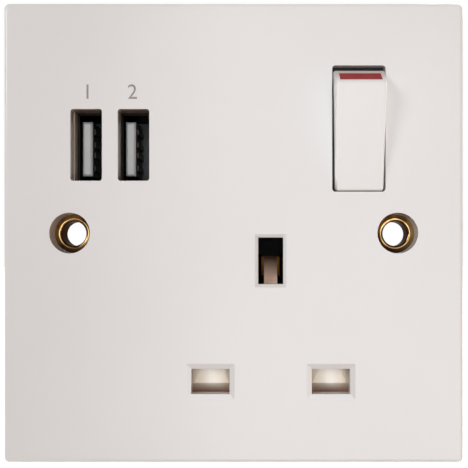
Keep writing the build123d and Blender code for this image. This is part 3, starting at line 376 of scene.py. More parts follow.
@dataclass(frozen=True)
class Moulding:
    """Moulded plastic: soft patches of tone, a fine skin, and faint specks of dust."""

    name: str
    tone: Colour
    shade: Colour
    patch: float
    roughness: Span
    skin: float
    depth: float
    coat: float = 0.0
    coat_roughness: float = 0.12
    gloss: float = 0.5
    own_light: float = 0.0
    specks: float = 0.0
    speck_size: float = 0.5
    speck_span: Span = (0.74, 0.8)
    speck_tone: Colour = (0.9, 0.89, 0.87)
    stains: tuple[Stain, ...] = ()

    def material(self) -> bpy.types.Material:
        """Make the material.

        Returns:
            A new material.
        """
        tree = ShaderTree(self.name)
        patches = tree.remap(tree.noise(self.patch, SOME_LAYERS), NOISE_SPAN)
        colour = tree.mix(patches, self.tone, self.shade)
        if self.specks:
            dust = tree.noise(self.speck_size, FEW_LAYERS)
            dust = tree.remap(dust, self.speck_span, (0.0, self.specks))
            colour = tree.mix(dust, colour, self.speck_tone)
        # Lay the painted shade and painted highlights over the colour.
        for painted_light in self.stains:
            colour = painted_light.lay(tree, colour)
        skin = tree.noise(self.skin, MANY_LAYERS)
        tree.relief(skin, self.depth)
        tree.set(Base_Color=colour, Roughness=tree.remap(skin, NOISE_SPAN, self.roughness))
        tree.set(Coat_Weight=self.coat, Coat_Roughness=self.coat_roughness)
        tree.set(Specular_IOR_Level=self.gloss, Emission_Strength=self.own_light)
        return tree.material


@dataclass(frozen=True)
class WornNylon:
    """Nylon with two upright bands of painted highlight, and painted shade on its feet and on a ramp."""

    name: str
    tone: Colour
    polished: Colour
    stained: Colour
    ramp_foot: Colour
    ramp_top: Colour
    roughness: Span
    middle: float = 0.0
    spread: float = 0.0
    band: Span = (0.0, 1.0)
    ramp: Span = (0.0, 1.0)
    ramp_rise: Span = (0.0, 1.0)
    foot: Span = (1.0, 0.0)
    foot_share: float = 0.95
    patch: float = 2.0
    patch_span: Span = (0.35, 0.7)
    patch_share: float = 0.93
    skin: float = 0.25
    depth: float = 0.002
    coat: float = 0.5
    coat_roughness: float = 0.15

    def material(self) -> bpy.types.Material:
        """Make the material.

        Returns:
            A new material.
        """
        tree = ShaderTree(self.name)
        sides, _, height = tree.axes()
        from_middle = tree.apart(sides, self.middle)
        wear = tree.fade(tree.apart(from_middle, self.spread), self.band, (1.0, 0.0))
        ramp = tree.fade(from_middle, self.ramp, (1.0, 0.0))
        rise = tree.fade(height, self.ramp_rise)
        foot = tree.fade(height, self.foot, (0.0, self.foot_share))
        patches = tree.remap(tree.noise(self.patch, MANY_LAYERS), self.patch_span)
        plain = tree.mix(patches, self.tone, darker(self.tone, self.patch_share))
        pads = tree.mix(foot, tree.mix(wear, plain, self.polished), self.stained)
        colour = tree.mix(ramp, pads, tree.mix(rise, self.ramp_foot, self.ramp_top))
        skin = tree.noise(self.skin, MANY_LAYERS)
        tree.relief(skin, self.depth)
        tree.set(Base_Color=colour, Roughness=tree.remap(skin, NOISE_SPAN, self.roughness))
        tree.set(Coat_Weight=self.coat, Coat_Roughness=self.coat_roughness)
        return tree.material


@dataclass(frozen=True)
class Metal:
    """Stamped, drawn or turned metal: tarnish in patches, and fine lines along one axis."""

    name: str
    tone: Colour
    tarnish: Colour
    patch: float
    roughness: Span
    line: float
    stretch: Point
    depth: float
    rim: Colour = (1.0, 1.0, 1.0)
    patch_span: Span = (0.42, 0.7)
    stains: tuple[Stain, ...] = ()

    def material(self) -> bpy.types.Material:
        """Make the material.

        Returns:
            A new material.
        """
        tree = ShaderTree(self.name)
        patches = tree.remap(tree.noise(self.patch, MANY_LAYERS), self.patch_span)
        colour = tree.mix(patches, self.tone, self.tarnish)
        # Lay the painted shade over the colour.
        for painted_light in self.stains:
            colour = painted_light.lay(tree, colour)
        lines = tree.noise(self.line, SOME_LAYERS, self.stretch)
        tree.relief(lines, self.depth)
        tree.set(Base_Color=colour, Roughness=tree.remap(lines, NOISE_SPAN, self.roughness))
        tree.set(Metallic=1.0, Specular_Tint=(*self.rim, 1.0))
        return tree.material


@dataclass(frozen=True)
class Wrap:
    """A wound or sleeved skin with bands across one axis."""

    name: str
    tone: Colour
    band_tone: Colour
    band: float
    axis: Axis
    roughness: Span
    depth: float
    band_span: Span = (0.8, 1.0)
    band_share: float = 0.8
    wear: float = 1.5
    wear_span: Span = (0.35, 0.75)
    wear_share: float = 0.4

    def material(self) -> bpy.types.Material:
        """Make the material.

        Returns:
            A new material.
        """
        tree = ShaderTree(self.name)
        wear = tree.noise(self.wear, SOME_LAYERS)
        wear = tree.remap(wear, self.wear_span, (0.0, self.wear_share))
        worn = tree.mix(wear, self.tone, self.band_tone)
        bands = tree.bands(self.band, self.axis)
        lines = tree.remap(bands, self.band_span, (0.0, self.band_share))
        tree.relief(bands, self.depth)
        tree.set(Base_Color=tree.mix(lines, worn, self.band_tone),
                 Roughness=tree.remap(bands, (0.0, 1.0), self.roughness))
        return tree.material


@dataclass(frozen=True)
class Laminate:
    """A circuit board's solder mask over copper, with lighter runs where copper lies below."""

    name: str
    mask: Colour
    copper: Colour
    run: float
    run_span: Span = (0.42, 0.5)
    run_rise: float = 0.03
    patch: float = 4.0
    patch_share: float = 0.7
    skin: float = 0.3
    roughness: Span = (0.25, 0.4)

    def material(self) -> bpy.types.Material:
        """Make the material.

        Returns:
            A new material.
        """
        tree = ShaderTree(self.name)
        cells = tree.nodes.new("ShaderNodeTexVoronoi")
        cells.distance = "MANHATTAN"
        tree.fill(cells, Vector=tree.coordinates, Scale=1.0 / (self.run * MM))
        runs = tree.remap(cells.outputs["Distance"], self.run_span)
        patches = tree.noise(self.patch, SOME_LAYERS)
        mask = tree.mix(patches, self.mask, darker(self.mask, self.patch_share))
        skin = tree.noise(self.skin, FEW_LAYERS)
        tree.relief(runs, self.run_rise)
        tree.set(Base_Color=tree.mix(runs, mask, self.copper),
                 Roughness=tree.remap(skin, NOISE_SPAN, self.roughness))
        return tree.material


WHITE = Moulding(
    "white_moulding", tone=(0.757, 0.764, 0.768), shade=(0.731, 0.738, 0.741), patch=30.0,
    roughness=(0.3, 0.38), skin=0.25, depth=0.0016, coat=0.6, gloss=0.6, specks=0.5)
WHITE_ROCKER = Moulding(
    "white_rocker", tone=(0.85, 0.87, 0.876), shade=(0.83, 0.849, 0.854), patch=14.0,
    roughness=(0.28, 0.36), skin=0.25, depth=0.0016, coat=0.25, specks=0.6)
WHITE_INNER = Moulding(
    "white_inner_moulding", tone=(0.7, 0.68, 0.64), shade=(0.64, 0.62, 0.58), patch=8.0,
    roughness=(0.45, 0.6), skin=0.2, depth=0.004)
DARK = Moulding(
    "dark_moulding", tone=(0.032, 0.032, 0.034), shade=(0.045, 0.045, 0.046), patch=9.0,
    roughness=(0.5, 0.66), skin=0.22, depth=0.02)
RED = Moulding(
    "red_marker", tone=(0.33, 0.014, 0.018), shade=(0.26, 0.01, 0.014), patch=2.0,
    roughness=(0.4, 0.5), skin=0.2, depth=0.002, gloss=0.2)
# The insulators turn dark towards their rear: painted shade.
PALE = Moulding(
    "pale_insulator", tone=(0.86, 0.88, 0.9), shade=(0.78, 0.8, 0.82), patch=4.0,
    roughness=(0.4, 0.5), skin=0.2, depth=0.003,
    stains=(Stain((0.02, 0.02, 0.02), (-4.4, -2.4)),))
PACKAGE = Moulding(
    "black_package", tone=(0.018, 0.018, 0.018), shade=(0.03, 0.03, 0.03), patch=2.0,
    roughness=(0.5, 0.65), skin=0.12, depth=0.006)
FERRITE = Moulding(
    "ferrite", tone=(0.045, 0.045, 0.05), shade=(0.075, 0.07, 0.07), patch=2.5,
    roughness=(0.45, 0.7), skin=0.18, depth=0.015)
CERAMIC = Moulding(
    "pale_ceramic", tone=(0.52, 0.56, 0.5), shade=(0.42, 0.46, 0.4), patch=2.0,
    roughness=(0.2, 0.3), skin=0.2, depth=0.002)
BROWN_LEAD = Moulding(
    "brown_insulation", tone=(0.17, 0.065, 0.03), shade=(0.12, 0.045, 0.02), patch=3.0,
    roughness=(0.3, 0.42), skin=0.2, depth=0.003)
BLUE_LEAD = Moulding(
    "blue_insulation", tone=(0.03, 0.1, 0.38), shade=(0.02, 0.075, 0.28), patch=3.0,
    roughness=(0.3, 0.42), skin=0.2, depth=0.003)
INK = Moulding(
    "grey_ink", tone=(0.26, 0.25, 0.245), shade=(0.34, 0.33, 0.32), patch=0.35,
    roughness=(0.5, 0.65), skin=0.1, depth=0.002)
PAPER = Moulding(
    "pale_paper", tone=(0.86, 0.86, 0.86), shade=(0.84, 0.84, 0.84), patch=60.0,
    roughness=(0.6, 0.75), skin=0.6, depth=0.01, own_light=0.75)
# The shutter's upright bands are painted highlight; its feet and the top of its ramp are painted shade.
IVORY = WornNylon(
    "ivory_nylon", tone=(0.78, 0.66, 0.51), polished=(1.0, 0.93, 0.83),
    stained=(0.4, 0.18, 0.105), ramp_foot=(0.86, 0.6, 0.46), ramp_top=(0.07, 0.034, 0.014),
    roughness=(0.28, 0.4))
BRASS = Metal(
    "brass", tone=(0.78, 0.53, 0.22), tarnish=(0.5, 0.3, 0.11), patch=3.0,
    roughness=(0.24, 0.42), line=0.12, stretch=(1.0, 1.0, 12.0), depth=0.002)
# A darker copy of brass for the earth contact deep in its slot: painted shade.
PAINTED_SHADE_BRASS = Metal(
    "aged_brass", tone=(0.33, 0.15, 0.035), tarnish=(0.14, 0.065, 0.02), patch=2.0,
    roughness=(0.3, 0.45), line=0.12, stretch=(1.0, 1.0, 12.0), depth=0.002)
EYELET_BRASS = Metal(
    "eyelet_brass", tone=(0.64, 0.43, 0.19), tarnish=(0.13, 0.055, 0.013), patch=2.2,
    roughness=(0.08, 0.15), line=0.1, stretch=(1.0, 1.0, 1.0), depth=0.0015,
    rim=(0.5, 0.45, 0.41))
# The ports' steel shells, nearly black: painted shade.
SHELL_PAINTED_SHADE = Metal(
    "shell_plate", tone=(0.018, 0.017, 0.016), tarnish=(0.01, 0.0095, 0.009), patch=2.0,
    roughness=(0.4, 0.52), line=0.1, stretch=(1.0, 10.0, 1.0), depth=0.001)
STEEL = Metal(
    "plated_steel", tone=(0.62, 0.61, 0.59), tarnish=(0.46, 0.45, 0.43), patch=2.5,
    roughness=(0.22, 0.36), line=0.1, stretch=(1.0, 10.0, 1.0), depth=0.001)
SILVER = Metal(
    "silver_tip", tone=(0.82, 0.8, 0.77), tarnish=(0.6, 0.57, 0.52), patch=1.0,
    roughness=(0.2, 0.35), line=0.1, stretch=(1.0, 1.0, 1.0), depth=0.001)
# The ports' gilt contacts, nearly black: painted shade.
GILT_PAINTED_SHADE = Metal(
    "gilt_contact", tone=(0.045, 0.038, 0.03), tarnish=(0.03, 0.025, 0.02), patch=1.2,
    roughness=(0.3, 0.42), line=0.08, stretch=(1.0, 8.0, 1.0), depth=0.001)
TAPE = Wrap(
    "yellow_tape", tone=(0.68, 0.44, 0.05), band_tone=(0.5, 0.3, 0.03), band=1.4,
    axis=Axis.Y, roughness=(0.25, 0.4), depth=0.04)
SLEEVE = Wrap(
    "dark_can", tone=(0.035, 0.045, 0.075), band_tone=(0.3, 0.31, 0.33), band=5.0,
    axis=Axis.X, roughness=(0.25, 0.35), depth=0.0)
BOARD = Laminate("green_board", mask=(0.016, 0.13, 0.05), copper=(0.05, 0.25, 0.09), run=3.0)

# The tones of painted shade and painted highlight.
RECESS_PAINTED_SHADE = (0.38, 0.32, 0.26)
GAP_PAINTED_SHADE = (0.16, 0.138, 0.132)
HEAD_PAINTED_SHADE = (0.6, 0.545, 0.53)
EDGE_PAINTED_HIGHLIGHT = (0.965, 0.993, 1.0)
EYELET_PAINTED_SHADE = (0.1, 0.05, 0.02)
CONTACT_PAINTED_SHADE = (0.02, 0.01, 0.004)

# The room's colour from its front wall, at 0, to its rear wall, at 1.
DAYLIGHT = (0.955, 0.985, 1.012)
WARM_SHADE = (0.066, 0.036, 0.02)
SIDE_GLOW = (0.6, 0.59, 0.58)
REAR_SHADE = (0.07, 0.066, 0.062)
ROOM_TONES = ((0.0, DAYLIGHT), (0.03, DAYLIGHT), (0.075, WARM_SHADE), (0.4, WARM_SHADE),
              (0.47, SIDE_GLOW), (0.6, SIDE_GLOW), (0.75, REAR_SHADE), (1.0, REAR_SHADE))


class Dresser:
    """Makes each finish once and gives it to CAD nodes and new pieces."""

    def __init__(self) -> None:
        """Start with no material made."""
        self.made: dict[str, bpy.types.Material] = {}

    def material(self, finish: Finish) -> bpy.types.Material:
        """Find the finish's material, and make it at its first use.

        Args:
            finish: the finish.
        Returns:
            Its material.
        """
        if finish.name not in self.made:
            self.made[finish.name] = finish.material()
        return self.made[finish.name]

    def nodes(self, finish: Finish, *names: str) -> None:
        """Dress CAD nodes.

        Args:
            finish: the finish that they get.
            names: the nodes.
        """
        for name in names:
            for slot in frame["nodes"][name].material_slots:
                slot.material = self.material(finish)
            LOG.info("%s: %s", name, finish.name)

    def piece(self, mesh: bpy.types.Mesh, finish: Finish, body: str, slot: str) -> bpy.types.Object:
        """Place a new piece on its body.

        Args:
            mesh: its mesh, already in place.
            finish: the finish that it gets.
            body: the CAD body that carries it.
            slot: the record's slot that its finish belongs to; not used.
        Returns:
            The new object.
        """
        piece = bpy.data.objects.new(mesh.name, mesh)
        bpy.context.scene.collection.objects.link(piece)
        mesh.materials.clear()
        mesh.materials.append(self.material(finish))
        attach(piece, body)
        LOG.info("%s: %s on %s, %d faces", piece.name, finish.name, body, len(mesh.polygons))
        return piece


def box_of(name: str) -> Box:
    """A CAD node's lowest and highest corner, in millimetres."""
    low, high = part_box(name)
    return low / MM, high / MM


def plate_front() -> float:
    """Where the plate's front face is along Y, in millimetres."""
    return box_of("face_plate")[0].y


def joint_of(name: str) -> dict[str, object]:
    """The frame's account of a joint."""
    return next(joint for joint in frame["joints"] if joint["name"] == name)


def solids_of(name: str) -> list[Box]:
    """Find the separate solids of a CAD node.

    Args:
        name: the node.
    Returns:
        The lowest and highest corner of each solid, in millimetres.
    """
    work = bmesh.new()
    work.from_mesh(frame["nodes"][name].data)
    bmesh.ops.remove_doubles(work, verts=work.verts, dist=SAME_PLACE * MM)
    left, boxes = set(work.verts), []
    while left:
        edge_of_search, solid = [left.pop()], []
        while edge_of_search:
            vert = edge_of_search.pop()
            solid.append(vert.co / MM)
            for edge in vert.link_edges:
                other = edge.other_vert(vert)
                if other in left:
                    left.remove(other)
                    edge_of_search.append(other)
        low, high = (Vector(pick(co[axis] for co in solid) for axis in Axis) for pick in (min, max))
        boxes.append((low, high))
    work.free()
    return sorted(boxes, key=lambda box: tuple(box[0]))


def plain_mesh(holder: bpy.types.Object) -> bpy.types.Mesh:
    """Turn an object's curve or modifier into a plain mesh, and remove the object.

    Args:
        holder: the object, not yet in the scene.
    Returns:
        A mesh with the object's name.
    """
    name = holder.name
    bpy.context.scene.collection.objects.link(holder)
    bpy.context.view_layer.update()
    shaped = holder.evaluated_get(bpy.context.evaluated_depsgraph_get())
    mesh = bpy.data.meshes.new_from_object(shaped)
    bpy.data.objects.remove(holder)
    mesh.name = name
    return mesh


@dataclass(frozen=True)
class FlatMark:
    """A thin mark of plain characters, with sizes in millimetres."""

    height: float
    thick: float
    face: Face
    curve_steps: int = 6

    def mesh(self, name: str, words: str, place: Point) -> bpy.types.Mesh:
        """Make the mark.

        Args:
            name: the mesh's name.
            words: the characters.
            place: the middle of the mark's foot, in millimetres.
        Returns:
            A closed mesh, in place.
        """
        curve = bpy.data.curves.new(name, "FONT")
        curve.body = words
        curve.align_x = "CENTER"
        curve.size = self.height / CAPITAL_SHARE * MM
        curve.extrude = self.thick * MM
        curve.resolution_u = self.curve_steps
        mesh = plain_mesh(bpy.data.objects.new(name, curve))
        about_x, about_z = (math.radians(angle) for angle in self.face.value)
        turn = Matrix.Rotation(about_z, 4, "Z") @ Matrix.Rotation(about_x, 4, "X")
        mesh.transform(Matrix.Translation(Vector(place) * MM) @ turn)
        return mesh


class InstanceTree(NodeSteps):
    """A Geometry Nodes tree that sets one shape at each point of a mesh."""

    sizes: tuple[str, ...] = ()

    def __init__(self) -> None:
        """Build the tree: the places and sizes come in, and the shape at each place goes out."""
        self.tree = bpy.data.node_groups.new(type(self).__name__, "GeometryNodeTree")
        self.tree.is_modifier = True
        super().__init__(self.tree)
        interface = self.tree.interface
        interface.new_socket("Result", in_out="OUTPUT", socket_type="NodeSocketGeometry")
        interface.new_socket("Places", in_out="INPUT", socket_type="NodeSocketGeometry")
        interface.new_socket("Turn", in_out="INPUT", socket_type="NodeSocketVector")
        interface.new_socket("Finish", in_out="INPUT", socket_type="NodeSocketMaterial")
        for label in self.sizes:
            interface.new_socket(label, in_out="INPUT", socket_type="NodeSocketFloat")
        self.given = self.nodes.new("NodeGroupInput").outputs
        copies = self.step("GeometryNodeInstanceOnPoints", Points=self.given["Places"],
                           Instance=self.shape(), Rotation=self.given["Turn"])
        plain = self.step("GeometryNodeRealizeInstances", Geometry=copies)
        smooth = self.step("GeometryNodeSetShadeSmooth", Geometry=plain)
        dressed = self.step("GeometryNodeSetMaterial", Geometry=smooth,
                            Material=self.given["Finish"])
        self.fill(self.nodes.new("NodeGroupOutput"), Result=dressed)

    def shape(self) -> Socket:
        """The shape that is set at each place."""
        raise NotImplementedError

    def mesh(self, name: str, places: list[Point], turn: Point, finish: bpy.types.Material,
             **sizes: float) -> bpy.types.Mesh:
        """Run the tree.

        Args:
            name: the new mesh's name.
            places: where the shape is set, in millimetres.
            turn: the shape's turn about X, Y and Z in degrees.
            finish: the material.
            sizes: the tree's named sizes, in millimetres or turns.
        Returns:
            A plain mesh, in place.
        """
        points = bpy.data.meshes.new(name + "_places")
        points.from_pydata([Vector(place) for place in places], [], [])
        holder = bpy.data.objects.new(name, points)
        modifier = holder.modifiers.new("shape", "NODES")
        modifier.node_group = self.tree
        values = {"Turn": [math.radians(angle) for angle in turn], "Finish": finish, **sizes}
        for item in self.tree.interface.items_tree:
            if item.in_out == "INPUT" and item.name in values:
                modifier[item.identifier] = values[item.name]
        mesh = plain_mesh(holder)
        mesh.transform(Matrix.Scale(MM, 4))
        return mesh


class WireTree(InstanceTree):
    """A tree whose shape is a wire along a line."""

    sides = 4

    def wire(self, line: Socket) -> Socket:
        """Give a line the wire's section.

        Args:
            line: the curve that the wire follows.
        Returns:
            The closed wire.
        """
        section = self.step("GeometryNodeCurvePrimitiveCircle", Resolution=self.sides,
                            Radius=self.given["Wire"])
        return self.step("GeometryNodeCurveToMesh", Curve=line, Profile_Curve=section,
                         Fill_Caps=True)


class ThreadTree(WireTree):
    """A ridge wound about an axis, as on a screw."""

    sizes = ("Turns", "Radius", "Wire", "Length")
    sides = 3
    steps = 24

    def shape(self) -> Socket:
        """Wind the ridge.

        Returns:
            The ridge, along Z from its foot.
        """
        radius = self.given["Radius"]
        line = self.step("GeometryNodeCurveSpiral", Resolution=self.steps,
                         Rotations=self.given["Turns"], Start_Radius=radius, End_Radius=radius,
                         Height=self.given["Length"])
        return self.wire(line)


class SpringTree(ThreadTree):
    """A coil spring of round wire with a closed ring at each end."""

    sides = 10

    def shape(self) -> Socket:
        """Wind the coil and close its ends.

        Returns:
            The coil and its two end rings, along Z from its foot.
        """
        ring = self.wire(self.step("GeometryNodeCurvePrimitiveCircle", Resolution=self.steps,
                                   Radius=self.given["Radius"]))
        lift = self.step("ShaderNodeCombineXYZ", Z=self.given["Length"])
        top = self.step("GeometryNodeTransform", Geometry=ring, Translation=lift)
        join = self.nodes.new("GeometryNodeJoinGeometry")
        for part in (super().shape(), ring, top):
            self.fill(join, Geometry=part)
        return join.outputs["Geometry"]


class LegTree(WireTree):
    """A package's leg, which leaves it level and curves down to its foot."""

    sizes = ("Reach", "Drop", "Wire")
    steps = 8
    bend = 0.75

    def shape(self) -> Socket:
        """Bend the leg.

        Returns:
            The leg, along X from its package and down along Z.
        """
        line = self.step("GeometryNodeCurvePrimitiveBezierSegment", Resolution=self.steps,
                         Start=(0.0, 0.0, 0.0), Start_Handle=(self.bend, 0.0, 0.0),
                         End=(1.0, 0.0, -1.0), End_Handle=(1.0 - self.bend, 0.0, -1.0))
        size = self.step("ShaderNodeCombineXYZ", X=self.given["Reach"], Y=1.0,
                         Z=self.given["Drop"])
        return self.wire(self.step("GeometryNodeTransform", Geometry=line, Scale=size))


class JointTree(InstanceTree):
    """A soldered joint: a low cone round the end of a pin."""

    sizes = ("Foot", "Tip", "Height")
    sides = 14

    def shape(self) -> Socket:
        """The joint, along Z from the board."""
        return self.step("GeometryNodeMeshCone", Vertices=self.sides, Depth=self.given["Height"],
                         Radius_Bottom=self.given["Foot"], Radius_Top=self.given["Tip"])


@dataclass(frozen=True)
class CoilSpring:
    """A coil spring that lies along the slide of one of the joints."""

    name: str
    node: str
    joint: str
    body: str
    wire: float
    turns: float

    def build(self, dresser: Dresser, length: float) -> None:
        """Wind the spring in the place of its CAD node.

        Args:
            dresser: makes the finishes.
            length: the spring's length at rest, in millimetres.
        """
        low, high = box_of(self.node)
        slide = joint_of(self.joint)
        axis = -Vector(slide["axis"])
        run = length - 2 * self.wire
        foot = (low + high) / 2 - axis * run / 2
        lean = math.degrees(math.atan2(axis.y, axis.z))
        mesh = SpringTree().mesh(
            self.name, [tuple(foot)], (-lean, 0.0, 0.0), dresser.material(STEEL), Length=run,
            Turns=self.turns, Radius=(high.x - low.x) / 2 - self.wire, Wire=self.wire)
        coil = dresser.piece(mesh, STEEL, self.body, "plated_steel")
        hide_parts(self.node)
        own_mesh(coil)


@dataclass(frozen=True)
class ScrewThreads:
    """The threads of a node's screws, which lie along Y and start above the screws' tips."""

    name: str
    node: str
    pitch: float
    ridge: float
    run: float
    lift: float

    def build(self, dresser: Dresser, radius: float) -> None:
        """Cut the threads.

        Args:
            dresser: makes the finishes.
            radius: the screws' radius in millimetres.
        """
        places = [((low.x + high.x) / 2, low.y + self.lift, (low.z + high.z) / 2)
                  for low, high in solids_of(self.node)]
        mesh = ThreadTree().mesh(
            self.name, places, (-90.0, 0.0, 0.0), dresser.material(STEEL), Length=self.run,
            Turns=self.run / self.pitch, Radius=radius, Wire=self.ridge)
        dresser.piece(mesh, STEEL, "base", "plated_steel")


@dataclass
class FrontPlate:
    """The white front moulding and the port numbers printed on it."""

    numeral: FlatMark = FlatMark(height=2.7, thick=0.012, face=Face.FRONT)
    numeral_gap: float = 1.9
    recess_reach: float = 1.0
    recess_depth: Span = (0.15, 1.4)

    def moulding(self) -> Moulding:
        """Choose the plate's finish.

        Returns:
            The finish, with painted shade on the walls in the ports' recess.
        """
        low = box_of("port_shell_left")[0]
        high = box_of("port_shell_right")[1]
        front, reach = plate_front(), self.recess_reach
        # Painted shade on the walls of the recess round the ports.
        walls = Stain(RECESS_PAINTED_SHADE, tuple(front + depth for depth in self.recess_depth),
                      sides=(low.x - reach, high.x + reach),
                      heights=(low.z - reach, high.z + reach))
        return replace(WHITE, stains=(walls,))

    def build(self, dresser: Dresser) -> None:
        """Dress the plate and print the numbers.

        Args:
            dresser: makes the finishes.
        """
        dresser.nodes(self.moulding(), "face_plate")
        for number, side in enumerate(Side, start=1):
            low, high = box_of("port_shell_" + side.value)
            place = ((low.x + high.x) / 2, plate_front(), high.z + self.numeral_gap)
            mesh = self.numeral.mesh(f"port_number_{number}", str(number), place)
            dresser.piece(mesh, INK, "base", "white_moulding")


@dataclass
class FixingEyelets:
    """The brass eyelets in the fixing holes and the strap that joins them."""

    bore_edge: Span = (2.5, 2.33)
    fall: Span = (1.0, -3.6)

    def brass(self) -> Metal:
        """Choose the eyelets' finish.

        Returns:
            The finish, with painted shade in the bores and towards the feet.
        """
        low, high = box_of("eyelet_right")
        # Painted shade towards the eyelets' lower side and in their bores.
        feet = Stain(EYELET_PAINTED_SHADE, self.fall, axis=Axis.Z)
        bores = BoreStain(EYELET_PAINTED_SHADE, self.bore_edge, middle=(low.x + high.x) / 2)
        return replace(EYELET_BRASS, stains=(feet, bores))

    def build(self, dresser: Dresser) -> None:
        """Dress the eyelets and the strap."""
        dresser.nodes(self.brass(), "eyelet_left", "eyelet_right")
        dresser.nodes(BRASS, "earth_strap")


@dataclass
class RockerSwitch:
    """The rocker, its marker and the contacts that it works."""

    spring: CoilSpring = CoilSpring("plunger_coil", "plunger_spring", "plunger_slide", "rocker",
                                    wire=0.2, turns=4.0)
    spring_length: float = 5.18
    edge: Span = (4.0, 4.25)
    left_wall: Span = (5.0, 4.0)
    gap_rise: float = 0.75
    head_drop: Span = (2.7, 0.5)

    def moulding(self) -> Moulding:
        """Choose the rocker's finish.

        Returns:
            The finish, with painted highlights on its edges, and painted shade on the head and in the gap.
        """
        low, high = box_of("rocker_marker")
        middle, front = (low.x + high.x) / 2, plate_front()
        # Painted highlights along the rocker's side edges.
        edges = EdgeStain(EDGE_PAINTED_HIGHLIGHT, self.edge, middle=middle)
        # Painted shade on the sunken left wall, in the gap beside the rocker.
        gap = Stain(GAP_PAINTED_SHADE, (front - self.gap_rise, front),
                    sides=tuple(middle - reach for reach in self.left_wall))
        # Painted shade on the rocker's head, which faces upwards.
        head = Stain(HEAD_PAINTED_SHADE, tuple(high.z - drop for drop in self.head_drop), axis=Axis.Z)
        return replace(WHITE_ROCKER, stains=(edges, gap, head))

    def build(self, dresser: Dresser) -> None:
        """Dress the switch's pieces.

        Args:
            dresser: makes the finishes.
        """
        self.spring.build(dresser, self.spring_length)
        dresser.nodes(self.moulding(), "switch_rocker")
        dresser.nodes(RED, "rocker_marker")
        dresser.nodes(WHITE_INNER, "rocker_plunger")
        dresser.nodes(BRASS, "moving_contact", "line_feed")
        dresser.nodes(SILVER, "moving_contact_tip", "fixed_contact_tip")


@dataclass
class PinSocket:
    """The shutter, the contacts behind it and the terminals."""

    polished: Span = (0.4, 2.7)
    ramp: Span = (2.0, 4.0)
    ramp_rise: Span = (1.0, 4.8)
    foot: Span = (3.3, 1.2)
    contact_fall: Span = (4.8, 5.1)
    spring: CoilSpring = CoilSpring("shutter_coil", "shutter_spring", "shutter_slide", "base",
                                    wire=0.225, turns=5.0)
    threads: ScrewThreads = ScrewThreads("terminal_threads", "terminal_screws", pitch=0.7,
                                         ridge=0.14, run=2.6, lift=0.14)

    def holes(self) -> dict[str, list[Point]]:
        """The openings' boxes by name, in metres."""
        openings = frame["record"]["physics"]["openings"]
        return {opening["name"]: opening["box_m"] for opening in openings}

    def earth_foot(self) -> float:
        """The height of the earth hole's foot, in millimetres."""
        return self.holes()["earth_hole"][0][Axis.Z] / MM

    def contact_brass(self) -> Metal:
        """The earth contact's finish, with painted shade above the shutter's ramp."""
        span = tuple(self.earth_foot() + rise for rise in self.contact_fall)
        # Painted shade on the earth contact above the ramp.
        return replace(PAINTED_SHADE_BRASS, stains=(Stain(CONTACT_PAINTED_SHADE, span, axis=Axis.Z),))

    def shutter_nylon(self) -> WornNylon:
        """Choose the shutter's finish.

        Returns:
            The finish, with its bands of painted highlight behind the two lower holes, and painted shade on its
            feet and ramp.
        """
        line, neutral = (sum(corner[Axis.X] for corner in self.holes()[name]) / 2 / MM
                         for name in ("line_hole", "neutral_hole"))
        shutter_foot = box_of("pin_shutter")[0].z
        # Painted shade on the shutter's feet and towards the top of its ramp.
        return replace(IVORY, middle=(line + neutral) / 2, spread=abs(line - neutral) / 2,
                       band=self.polished, ramp=self.ramp,
                       ramp_rise=tuple(self.earth_foot() + rise for rise in self.ramp_rise),
                       foot=tuple(shutter_foot + rise for rise in self.foot))

    def build(self, dresser: Dresser) -> None:
        """Dress the socket's pieces.

        Args:
            dresser: makes the finishes.
        """
        low, high = box_of("shutter_spring")
        self.spring.build(dresser, high.z - low.z)
        low, high = solids_of("terminal_screws")[0]
        self.threads.build(dresser, (high.x - low.x) / 2)
        dresser.nodes(self.shutter_nylon(), "pin_shutter")
        dresser.nodes(WHITE_INNER, "shutter_carrier")
        dresser.nodes(STEEL, "terminal_screws")
        dresser.nodes(BRASS, "line_contact", "neutral_contact")
        dresser.nodes(self.contact_brass(), "earth_contact")
        dresser.nodes(BRASS, "line_terminal", "neutral_terminal", "earth_terminal")


